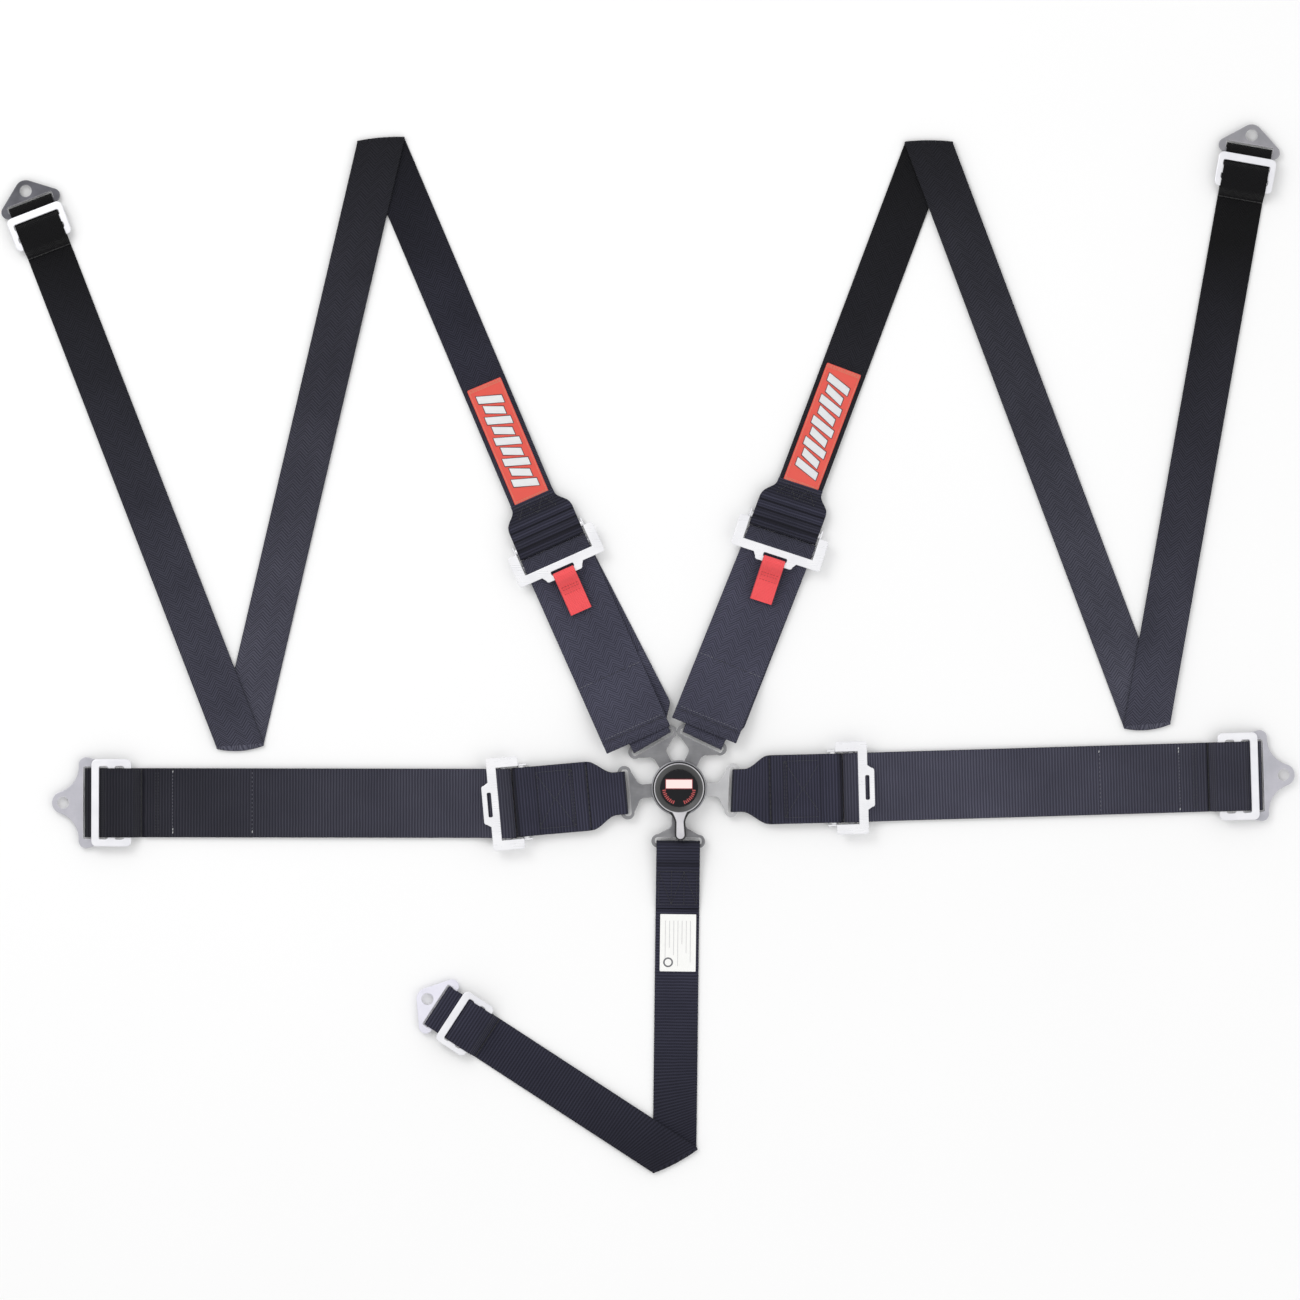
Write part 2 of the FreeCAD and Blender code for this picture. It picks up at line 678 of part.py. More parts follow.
def lap_loop(name):
    """Sewn loop between the tongue and the adjuster's crossbar."""
    course, length = course_between(bar_point(name), LAP_CROSSBAR[name])
    sewn = block(EYE_REACH - EYE_OVERLAP, length - EYE_REACH, WIDE, TONGUE_Z - WEBBING, TONGUE_Z + WEBBING)
    sewn = sewn.fuse(eye(length, TONGUE_Z, LOOP_IN, EYE_REACH, WIDE, -1))
    loop = course.place(sewn).fuse(tongue_eye(name, WIDE))
    return loop.common(course.place(gathering(length, GATHERED, WIDE, 8.0, 33.0)))


def lap_slide_end(name):
    """How far the end webbing reaches back from the bolt."""
    return LAP_SLIDE_GAP[name] + WIDE_SLIDE_LENGTH + 10.0


def lap_run(name):
    """Belt from the grip bar, under the tail, to the end webbing."""
    belt, length = lap_belt(name)
    end = length - lap_slide_end(name)
    low = TONGUE_Z - WRAP_OUT
    lying = 30.0
    flat = side(
        [
            (6.0, low),
            (6.0, low + WEBBING),
            (lying, GROUND + WEBBING),
            (end, GROUND + WEBBING),
            (end, GROUND),
            (lying, GROUND),
        ],
        WIDE,
    )
    return belt_turn(lap_adjuster(name), belt, 8.0).fuse(belt.place(flat))


def lap_tail(name):
    """Free end of the lap belt, out under the adjuster's plate and back along the run."""
    belt, length = lap_belt(name)
    top = TONGUE_Z + WRAP_OUT - WEBBING / 2
    rest = GROUND + 1.7 * WEBBING
    line = [(9.2, top), (15.0, top - 0.8), (32.0, rest + 0.8), (60.0, rest), (LAP_TAIL[name], rest)]
    return belt.place(ribbon(line, WIDE))


def shoulder_adjuster(name):
    return Course(SHOULDER_CROSSBAR[name], SHOULDER_HANDLE_ANGLE[name])


def shoulder_grip(name):
    return shoulder_adjuster(name).at(GRIP_AT)


def shoulder_lower(name):
    """Lower belt: looped and sewn round the tongue, then one layer to the grip bar."""
    course, length = course_between(bar_point(name), shoulder_grip(name))
    start = EYE_REACH - EYE_OVERLAP
    lying = 44.0
    sewn_end = 90.0
    end = length - 9.5
    lifting = end - 20.0
    belt = side(
        [
            (start, TONGUE_Z + WEBBING),
            (EYE_REACH, TONGUE_Z + WEBBING),
            (lying, GROUND + 2 * WEBBING),
            (sewn_end, GROUND + 2 * WEBBING),
            (sewn_end + 2.0, GROUND + WEBBING),
            (lifting, GROUND + WEBBING),
            (end, TONGUE_Z - WRAP_IN),
            (end, TONGUE_Z - WRAP_OUT),
            (lifting, GROUND),
            (lying, GROUND),
            (EYE_REACH, TONGUE_Z - WEBBING),
            (start, TONGUE_Z - WEBBING),
        ],
        WIDE,
    )
    loop = course.place(belt).fuse(tongue_eye(name, WIDE))
    return loop.common(course.place(gathering(length, GATHERED, WIDE, 8.0, 24.0)))


def shoulder_tail(name):
    """Free end of the shoulder belt: round the grip bar and down over the lower belt to the tongue."""
    course = Course(shoulder_grip(name), SHOULDER_TAIL_ANGLE[name])
    top = TONGUE_Z + WRAP_OUT - WEBBING / 2
    over_loop = TONGUE_Z + LOOP_OUT + 0.4 + WEBBING / 2
    on_belt = GROUND + 2.8 * WEBBING
    free = ribbon(
        [
            (4.6, top),
            (12.5, top - 0.6),
            (29.0, on_belt),
            (SHOULDER_TAIL - 74.0, on_belt),
            (SHOULDER_TAIL - 19.0, over_loop),
            (SHOULDER_TAIL, over_loop),
        ],
        WIDE,
    )
    return belt_turn(shoulder_adjuster(name), course, 4.6).fuse(course.place(free))


def shoulder_courses(name):
    """The three straight stretches above a shoulder adjuster, each with its length."""
    first, second = SHOULDER_FOLDS[name]
    return [
        course_between(SHOULDER_CROSSBAR[name], first),
        course_between(first, second),
        course_between(second, SHOULDER_BOLT[name]),
    ]


def shoulder_upper(name):
    """Upper belt: a wide loop round the crossbar sewn to a 2 inch belt that runs to the first fold."""
    (course, length), (following, second_length), last = shoulder_courses(name)
    reach = 14.0
    loop_end = 44.0
    full_until = 26.0
    loop = eye(0, TONGUE_Z, LOOP_IN, reach, WIDE, 1)
    loop = loop.fuse(block(reach, loop_end, WIDE, TONGUE_Z - WEBBING, TONGUE_Z + WEBBING))
    for edge in (1, -1):
        corner = [(loop_end, NARROW), (loop_end, WIDE + 1), (full_until, WIDE + 1), (full_until, WIDE)]
        loop = loop.cut(plan([(x, edge * y) for x, y in corner], 0, 20.0))
    lean = crease_lean(course, following, course)
    slope = leg(0, UPPER_FLAT, 0, 0, NARROW, UPPER_START, GROUND)
    slope = slope.cut(block(-5.0, loop_end - 8.0, WIDE, 0, 20.0))
    flat = leg(UPPER_FLAT - 0.5, length, 0, lean, NARROW, GROUND, GROUND)
    square = Course(SHOULDER_CROSSBAR[name], SHOULDER_HANDLE_ANGLE[name] - 180)
    return course.place(slope.fuse(flat)).fuse(square.place(loop))


def shoulder_patch(name):
    """Embroidered patch sewn on the upper belt."""
    course, length = shoulder_courses(name)[0]
    low = UPPER_START + WEBBING + 0.02
    patch = block(PATCH_START, PATCH_START + PATCH_LENGTH, PATCH_HALF, low, low + PATCH_T)
    fall = math.degrees(math.atan2(UPPER_START - GROUND, UPPER_FLAT))
    patch.rotate(Vector(0, 0, UPPER_START), Vector(0, 1, 0), fall)
    return course.place(patch)


def shoulder_middle(name):
    (first, a), (course, length), (following, b) = shoulder_courses(name)
    lean_start = crease_lean(first, course, course)
    lean_end = crease_lean(course, following, course)
    return course.place(leg(0, length, lean_start, lean_end, NARROW, OVERLAP, GROUND))


def bolt_course(course, length):
    """From a belt's bolt back along the belt."""
    return Course(course.at(length), course.angle + 180)


def narrow_end(course_in, course, length, gap):
    """Last stretch of a 2 inch belt, from its fold to the end webbing round its bracket."""
    foot = gap + NARROW_SLIDE_LENGTH + 10.0
    lean = crease_lean(course_in, course, course)
    flat = course.place(leg(0, length - foot + 1.0, lean, 0, NARROW, OVERLAP, GROUND))
    ending = end_webbing(NARROW_BRACKET_BAR, gap, NARROW_SLIDE_LENGTH, NARROW, foot)
    return flat.fuse(bolt_course(course, length).place(ending))


def sub_courses():
    return [course_between(bar_point("sub"), SUB_FOLD), course_between(SUB_FOLD, SUB_BOLT)]


def sub_belt():
    """2 inch belt looped round the sub tongue and sewn, then one layer to the fold."""
    (course, length), (following, rest) = sub_courses()
    half = NARROW - 1.0
    loop = eye(0, TONGUE_Z, LOOP_IN, EYE_REACH, half, 1)
    slope = side(
        [
            (EYE_REACH, TONGUE_Z + WEBBING),
            (SUB_FLAT, GROUND + 2 * WEBBING),
            (SUB_FLAT + 4.0, GROUND + WEBBING),
            (SUB_FLAT + 4.0, GROUND),
            (SUB_FLAT, GROUND),
            (EYE_REACH, TONGUE_Z - WEBBING),
        ],
        half,
    )
    flat = leg(SUB_FLAT, length, 0, crease_lean(course, following, course), half, GROUND, GROUND)
    return course.place(loop.fuse([slope, flat]))


def sub_label():
    """Sewn-on white label."""
    course, length = sub_courses()[0]
    low = GROUND + WEBBING + 0.02
    label = block(75.0, 138.0, 19.8, low, low + LABEL_T)
    label.translate(Vector(0, 1.0, 0))
    return course.place(label)


def build_buckle():
    save("buckle_base", buckle_base())
    save("buckle_housing", buckle_housing())
    save("housing_screws", housing_screws())
    save("spindle", spindle())
    save("release_cam", release_cam())
    save("latch_springs", latch_springs())
    save("return_spring", return_spring())
    save("release_lever", release_lever())
    save("lever_trim", lever_trim())
    save("cap_disc", cap_disc())
    for name, angle in TONGUE_ANGLES.items():
        save(name + "_tongue", Course((0, 0), angle).place(tongue()))


def build_lap(name):
    adjuster = lap_adjuster(name)
    belt, length = lap_belt(name)
    bolt = bolt_course(belt, length)
    gap = LAP_SLIDE_GAP[name]
    ending = end_webbing(WIDE_BRACKET_BAR, gap, WIDE_SLIDE_LENGTH, WIDE, lap_slide_end(name) - 0.3)
    save(name + "_loop", lap_loop(name))
    save(name + "_adjuster_frame", adjuster.place(adjuster_frame()))
    save(name + "_grip_bar", adjuster.place(grip_bar()))
    save(name + "_run", lap_run(name))
    save(name + "_tail", lap_tail(name))
    save(name + "_end_loop", bolt.place(ending))
    save(name + "_slide", bolt.place(three_bar_slide(gap, WIDE_SLIDE_LENGTH, WIDE_SLIDE_HALF)))
    save(name + "_bracket", bolt.place(wide_bracket()))


def build_shoulder(name):
    adjuster = shoulder_adjuster(name)
    upper, middle, last = shoulder_courses(name)
    bolt = bolt_course(*last)
    save(name + "_lower_belt", shoulder_lower(name))
    save(name + "_grip_bar", adjuster.place(grip_bar()))
    save(name + "_tail", shoulder_tail(name))
    save(name + "_adjuster_frame", adjuster.place(adjuster_frame()))
    save(name + "_pull_tab", adjuster.place(pull_tab()))
    save(name + "_upper_belt", shoulder_upper(name))
    save(name + "_patch", shoulder_patch(name))
    save(name + "_middle_belt", shoulder_middle(name))
    save(name + "_end_belt", narrow_end(middle[0], last[0], last[1], SHOULDER_SLIDE_GAP))
    slide = three_bar_slide(SHOULDER_SLIDE_GAP, NARROW_SLIDE_LENGTH, NARROW_SLIDE_HALF)
    save(name + "_slide", bolt.place(slide))
    save(name + "_bracket", bolt.place(narrow_bracket()))


def build_sub():
    upper, last = sub_courses()
    bolt = bolt_course(*last)
    save("sub_belt", sub_belt())
    save("sub_label", sub_label())
    save("sub_end_belt", narrow_end(upper[0], last[0], last[1], SUB_SLIDE_GAP))
    save("sub_slide", bolt.place(three_bar_slide(SUB_SLIDE_GAP, NARROW_SLIDE_LENGTH, NARROW_SLIDE_HALF)))
    save("sub_bracket", bolt.place(narrow_bracket()))


build_buckle()
build_lap("left_lap")
build_lap("right_lap")
build_shoulder("left_shoulder")
build_shoulder("right_shoulder")
build_sub()
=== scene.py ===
"""Looks of a five-point racing harness laid flat: webbing, stitching, patches and metal finishes.

Lengths are in millimetres along each belt's own course until a mesh is made. The positions come from the
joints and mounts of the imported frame."""

import json
import math

import bmesh
import bpy
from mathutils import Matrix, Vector


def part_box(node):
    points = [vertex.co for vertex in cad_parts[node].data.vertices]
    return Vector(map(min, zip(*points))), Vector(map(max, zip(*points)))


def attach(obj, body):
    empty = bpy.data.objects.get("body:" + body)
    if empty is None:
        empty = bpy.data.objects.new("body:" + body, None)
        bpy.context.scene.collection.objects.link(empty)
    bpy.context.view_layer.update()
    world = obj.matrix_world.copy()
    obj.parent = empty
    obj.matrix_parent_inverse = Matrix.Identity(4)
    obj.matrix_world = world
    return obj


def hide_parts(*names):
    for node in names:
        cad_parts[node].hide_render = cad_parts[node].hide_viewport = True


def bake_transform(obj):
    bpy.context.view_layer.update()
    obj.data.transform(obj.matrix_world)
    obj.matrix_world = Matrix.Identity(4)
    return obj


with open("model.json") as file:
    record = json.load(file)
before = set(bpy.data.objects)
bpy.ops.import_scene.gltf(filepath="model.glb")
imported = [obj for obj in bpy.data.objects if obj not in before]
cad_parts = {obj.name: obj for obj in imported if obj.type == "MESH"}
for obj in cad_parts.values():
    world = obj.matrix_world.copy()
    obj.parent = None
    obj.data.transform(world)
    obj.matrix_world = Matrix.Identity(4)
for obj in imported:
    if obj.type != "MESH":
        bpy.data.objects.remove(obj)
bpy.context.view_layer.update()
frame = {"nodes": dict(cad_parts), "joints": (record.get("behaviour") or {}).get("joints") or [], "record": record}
JOINTS = {joint["name"]: joint for joint in frame["joints"]}
MOUNTS = {mount["name"]: mount for mount in frame["record"]["mounts"]}
MM = 0.001
UP = Vector((0, 0, 1))

WEBBING = 1.8           # thickness of one layer
WIDE = 38.0             # half width of the 3 inch belt
NARROW = 25.0           # half width of the 2 inch belt
SUB_HALF = 24.0         # half width of the sub belt beside its label
GATHERED = 23.5         # half width where a wide belt is bunched through a tongue
FLOOR_Z = 1.1           # middle of a belt that lies flat
FOLD_Z = 4.1            # middle of a belt that lies on top of another at a fold
BAR_Z = 7.5             # axis height of the tongues' and adjusters' bars
BRACKET_Z = 5.1         # axis height of the brackets' bars
OVER_SLIDE_Z = 14.3     # middle of a belt that lies on a slide's bars
HALF_GAP = 0.95         # from the plane between two sewn layers to the middle of each
LOOP_R = 5.45           # middle of the webbing's turn round a tongue bar or crossbar
GRIP_TURN_R = 5.6       # middle of the webbing's turn round a grip bar
BRACKET_TURN_R = 4.0
EYE_REACH = 18.0        # from a bar to where the two layers round it meet
EYE_BULGE = 9.8         # half width of a sewn loop's turn, which bulges towards the grip bar
ROLL_BULGE = 8.3        # half width of the free end's turn round the grip bar
WIDE_BULGE = 10.8       # half width of the turn round a lap bracket's bar
NARROW_BULGE = 7.2
WIDE_BAR = 35.5         # bolt to bracket bar, 3 inch
NARROW_BAR = 20.1       # bolt to bracket bar, 2 inch
WIDE_SLIDE = 44.0       # length of a slide
NARROW_SLIDE = 38.0
SLIDE_BAR = 8.5         # width of each of a slide's bars
CLIMB = 2.45            # half the run of a belt's climb through a slide's window
UPPER_FLAT = 205.0      # from the crossbar to where the 2 inch belt reaches the floor
LAP_TAIL = {"left_lap": 397.0, "right_lap": 391.5}
SHOULDER_TAIL = 222.0
HEM_RIB = 3.3           # pitch of the painted shade bands that stand for the ribs on a shoulder tail's hem
SEAM_AT = 36.2          # from the tongue bar to the edge of a lap loop's inner layer
BOX_START = 52.0        # sewn box on a lap loop
BOX_END = 93.0
BOX_HALF = 31.0
SUB_HEM = 68.0          # end of the sub belt's sewn layer
SUB_RIB = 4.2
PATCH_START = 46.0      # from the crossbar to the patch
PATCH_END = 184.0
PATCH_HALF = 20.0
KNOB_R = 29.0
DISH_R = 26.0           # where the knob's dished ring meets its bright line, a painted highlight
CAP_R = 20.3
GAP = {                 # from the bolt to the slide
    "left_lap": 31.5,
    "right_lap": 28.1,
    "left_shoulder": 23.0,
    "right_shoulder": 23.0,
    "sub": 30.0,
}


# ---- Courses and centrelines ----

def joint_point(name):
    return Vector(JOINTS[name]["pos_m"]) / MM


def bolt_point(name):
    return Vector(MOUNTS[name + "_anchor"]["pos_m"]) / MM


class Course:
    """A straight stretch in plan: x along it from its start, y to its left."""

    def __init__(self, start, toward):
        self.start = Vector((start[0], start[1]))
        way = Vector((toward[0], toward[1])) - self.start
        self.length = way.length
        self.along = way.normalized()
        self.left = Vector((-self.along.y, self.along.x))

    def at(self, x, y, z):
        point = self.start + x * self.along + y * self.left
        return Vector((point.x, point.y, z)) * MM

    def lean(self, axis):
        """How far a line parallel to the axis runs along the course for each millimetre across it."""
        line = Vector((axis[0], axis[1]))
        return line.dot(self.along) / line.dot(self.left)


def joint_lean(course, name):
    return course.lean(JOINTS[name]["axis"])


def crease(before, after):
    """Direction of the fold between two courses."""
    return before.along + after.along


def smoothstep(low, high, value):
    t = min(1.0, max(0.0, (value - low) / (high - low)))
    return t * t * (3 - 2 * t)


def hump(centre, width, value):
    """A smooth rise to 1 at the centre."""
    return math.exp(-((value - centre) / width) ** 2)


def ripple(pitch, value):
    """A wave from 0 to 1."""
    return 0.5 + 0.5 * math.sin(2 * math.pi * value / pitch)


def mix(a, b, t):
    return a + (b - a) * t


def arc(x, z, radius, first, last, steps=14, reach=None):
    """Points on an arc in side view, angles in degrees from the belt's direction. reach is the half width of
    a turn that bulges along the belt."""
    turns = [math.radians(first + (last - first) * i / steps) for i in range(steps + 1)]
    return [(x + (reach or radius) * math.cos(t), z + radius * math.sin(t)) for t in turns]


def rounded(points, radius=5.0, steps=4):
    """The line with each corner replaced by a short curve."""
    line = [points[0]]
    for before, corner, after in zip(points, points[1:], points[2:]):
        near = math.dist(before, corner)
        far = math.dist(corner, after)
        cut_in = min(radius, near * 0.45) / near
        cut_out = min(radius, far * 0.45) / far
        start = (mix(corner[0], before[0], cut_in), mix(corner[1], before[1], cut_in))
        end = (mix(corner[0], after[0], cut_out), mix(corner[1], after[1], cut_out))
        for i in range(steps + 1):
            t = i / steps
            line.append(tuple(
                (1 - t) ** 2 * start[k] + 2 * t * (1 - t) * corner[k] + t**2 * end[k] for k in (0, 1)
            ))
    return line + [points[-1]]


def divided(points, longest):
    """The line with its long stretches cut into equal shorter ones."""
    line = [points[0]]
    for a, b in zip(points, points[1:]):
        if math.dist(a, b) < 0.02:
            continue
        cuts = max(1, math.ceil(math.dist(a, b) / longest))
        line += [(mix(a[0], b[0], i / cuts), mix(a[1], b[1], i / cuts)) for i in range(1, cuts + 1)]
    return line


def level(z):
    return lambda x: z


def between(points):
    """Height at x on a line given in side view."""
    ordered = sorted(points)

    def height(x):
        for (x0, z0), (x1, z1) in zip(ordered, ordered[1:]):
            if x0 <= x <= x1:
                return mix(z0, z1, (x - x0) / (x1 - x0)) if x1 > x0 else z1
        return ordered[0][1] if x < ordered[0][0] else ordered[-1][1]

    return height


# ---- Mesh helpers ----

def finished(name, mesh, material, body=None, smooth=True):
    """The piece made of a mesh, riding on a body if one is given."""
    bmesh.ops.recalc_face_normals(mesh, faces=mesh.faces)
    data = bpy.data.meshes.new(name)
    mesh.to_mesh(data)
    mesh.free()
    for polygon in data.polygons:
        polygon.use_smooth = smooth
    data.materials.append(material)
    piece = bpy.data.objects.new(name, data)
    bpy.context.scene.collection.objects.link(piece)
    if body:
        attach(piece, body)
    return piece


def settle(piece, node=None, body=None):
    """Hides the CAD node that the piece stands for and lets the piece ride on a body, when these are given."""
    if node:
        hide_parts(node)
    if body:
        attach(piece, body)


# Rounded, slightly raised selvedge: distance in from the edge and share of the thickness there.
SELVEDGE = ((0.0, 0.35), (0.3, 0.8), (0.9, 1.0), (1.9, 1.0), (2.7, 0.84), (4.0, 0.92))
# Painted shade along a belt's edges: how far the cloth is darkened within 0.5 mm of each edge.
EDGE_SHADE = 0.3


def section(half, thickness=WEBBING, middle=14):
    """Outline of a belt's cross-section: place across, thickness there, and side: 1 is its left-hand face."""
    edge = [(half - inset, thickness * share) for inset, share in SELVEDGE]
    inner = edge[-1][0]
    centre = [(inner * (1 - 2 * i / middle), thickness * 0.95) for i in range(1, middle)]
    across = edge + centre + [(-y, t) for y, t in reversed(edge)]
    return [(y, t, 1) for y, t in across] + [(y, t, -1) for y, t in reversed(across)]


def woven_piece(name, rings, material, wrap=None):
    """A skin through rings of (place, length along, place across, shade), where shade is painted shade: how far
    the cloth there is darkened to stand for shade. wrap is the length at which a closed belt meets its own start.
    An open one gets flat ends."""
    mesh = bmesh.new()
    weave = mesh.loops.layers.uv.new("weave")
    # The shade layer holds painted shade per vertex, which the webbing material turns into darker cloth.
    dark = mesh.verts.layers.float.new("shade")
    rows = []
    for ring in rings:
        row = []
        for place, along, across, shade in ring:
            vertex = mesh.verts.new(place)
            vertex[dark] = shade
            row.append((vertex, (along * MM, across * MM)))
        rows.append(row)

    def cover(*corners):
        face = mesh.faces.new([vertex for vertex, uv in corners])
        for loop, (vertex, uv) in zip(face.loops, corners):
            loop[weave].uv = uv
        return face

    spans = list(zip(rows, rows[1:]))
    if wrap is not None:
        spans.append((rows[-1], [(vertex, (wrap * MM, uv[1])) for vertex, uv in rows[0]]))
    count = len(rows[0])
    for first, second in spans:
        for j in range(count):
            k = (j + 1) % count
            cover(first[j], first[k], second[k], second[j])
    ends = (rows[0], rows[-1]) if wrap is None else ()
    for row in ends:
        for j in range(count // 2 - 1):
            for edge in cover(row[j], row[j + 1], row[count - 2 - j], row[count - 1 - j]).edges:
                edge.smooth = False
    return finished(name, mesh, material)


def belt(name, course, line, half, material, thickness=WEBBING, lean=None, lean_at=None, relief=None,
         shade=None, closed=False, step=5.0, middle=14):
    """One layer of webbing along a centreline in side view. half may be a function of x, lean is a function of the
    distance along and lean_at of x. relief gives a rise in z from (x, y, side), where side is 1 on the layer's
    left-hand face, and shade gives painted shade: how far the cloth is darkened at x, from 0 to 1, to stand for
    shade. Its edges are darkened too, as painted shade."""
    half_at = half if callable(half) else lambda x: half
    line = divided(line, step)
    if closed:
        line = line[:-1]
    count = len(line)
    travelled = [0.0]
    for a, b in zip(line, line[1:]):
        travelled.append(travelled[-1] + math.dist(a, b))
    rings = []
    for i, (x, z) in enumerate(line):
        before = line[i - 1] if (i or closed) else line[i]
        after = line[(i + 1) % count] if (i + 1 < count or closed) else line[i]
        length = math.dist(before, after)
        normal = (-(after[1] - before[1]) / length, (after[0] - before[0]) / length)
        slant = (lean(travelled[i]) if lean else 0.0) + (lean_at(x) if lean_at else 0.0)
        ring = []
        for y, thick, side in section(half_at(x), thickness, middle):
            out = side * thick / 2
            rise = relief(x, y, side) if relief else 0.0
            place = course.at(x + slant * y + out * normal[0], y, z + out * normal[1] + rise)
            # Painted shade: the cloth is darkened along its edges and wherever the shade function darkens it.
            edge = EDGE_SHADE if half_at(x) - abs(y) < 0.5 else 0.0
            ring.append((place, travelled[i], y, max(edge, shade(x) if shade else 0.0)))
        rings.append(ring)
    wrap = travelled[-1] + math.dist(line[-1], line[0]) if closed else None
    return woven_piece(name, rings, material, wrap)


def fold(name, first, second, corner, half, material, bulge):
    """The turn of a belt that folds flat over itself, along the crease between two courses. It stands out
    `bulge` further in the middle than at its two edges."""
    line = crease(first, second).normalized()
    outward = Vector((-line.y, line.x))
    if outward.dot(first.along) < 0:
        outward = -outward
    radius = (FOLD_Z - FLOOR_Z) / 2
    slant = first.lean(line)
    steps = 12
    rings = []
    for i in range(steps + 1):
        turn = math.pi * i / steps
        ring = []
        for y, thick, side in section(half):
            base = corner.xy + (slant * y) * first.along + y * first.left
            swell = bulge * (1 - (y / half) ** 2)
            base += outward * (radius + swell - side * thick / 2) * math.sin(turn)
            z = FLOOR_Z + radius - (radius - side * thick / 2) * math.cos(turn)
            ring.append((Vector((*base, z)) * MM, first.length + slant * y + radius * turn, y, 0.0))
        rings.append(ring)
    return woven_piece(name, rings, material)


def blend_fold(turn):
    """Bakes the turn's placement into its mesh."""
    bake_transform(turn)


class Thread:
    """Stitches sewn on one piece, gathered into a single mesh of small rounded strands."""

    # Share of the way along, share of the radius, and rise in radii: both ends dip into the webbing.
    STATIONS = ((0, 0.45, -0.3), (0.15, 0.9, 0.25), (0.5, 1.0, 0.5), (0.85, 0.9, 0.25), (1, 0.45, -0.3))
    SIDES = 6

    def __init__(self, name, material, body, radius=0.32):
        self.name = name
        self.material = material
        self.body = body
        self.radius = radius * MM
        self.mesh = bmesh.new()

    def strand(self, start, end):
        """One bowed stitch."""
        way = end - start
        across = way.cross(UP).normalized()
        rings = []
        for t, size, rise in self.STATIONS:
            centre = start + way * t + UP * rise * self.radius
            ring = []
            for k in range(self.SIDES):
                turn = 2 * math.pi * k / self.SIDES
                offset = across * math.cos(turn) + UP * math.sin(turn)
                ring.append(self.mesh.verts.new(centre + offset * size * self.radius))
            rings.append(ring)
        for a, b in zip(rings, rings[1:]):
            for j in range(self.SIDES):
                k = (j + 1) % self.SIDES
                self.mesh.faces.new([a[j], a[k], b[k], b[j]])
        self.mesh.faces.new(list(reversed(rings[0])))
        self.mesh.faces.new(rings[-1])

    def seam(self, course, height, start, end, stitch=2.8, gap=0.9):
        """A row of stitches between two points in plan; height gives the surface at x."""
        length = math.dist(start, end)
        count = max(1, int(length // (stitch + gap)))
        pitch = length / count
        for i in range(count):
            ends = []
            for travelled in (i * pitch + gap / 2, (i + 1) * pitch - gap / 2):
                x = mix(start[0], end[0], travelled / length)
                y = mix(start[1], end[1], travelled / length)
                ends.append(course.at(x, y, height(x)))
            self.strand(*ends)

    def across(self, course, height, x, half, **sizes):
        """A row of stitches square across the belt."""
        self.seam(course, height, (x, -half), (x, half), **sizes)

    def path(self, course, height, points, **sizes):
        for start, end in zip(points, points[1:]):
            self.seam(course, height, start, end, **sizes)

    def finish(self):
        return finished(self.name, self.mesh, self.material, self.body)


# ---- Materials ----

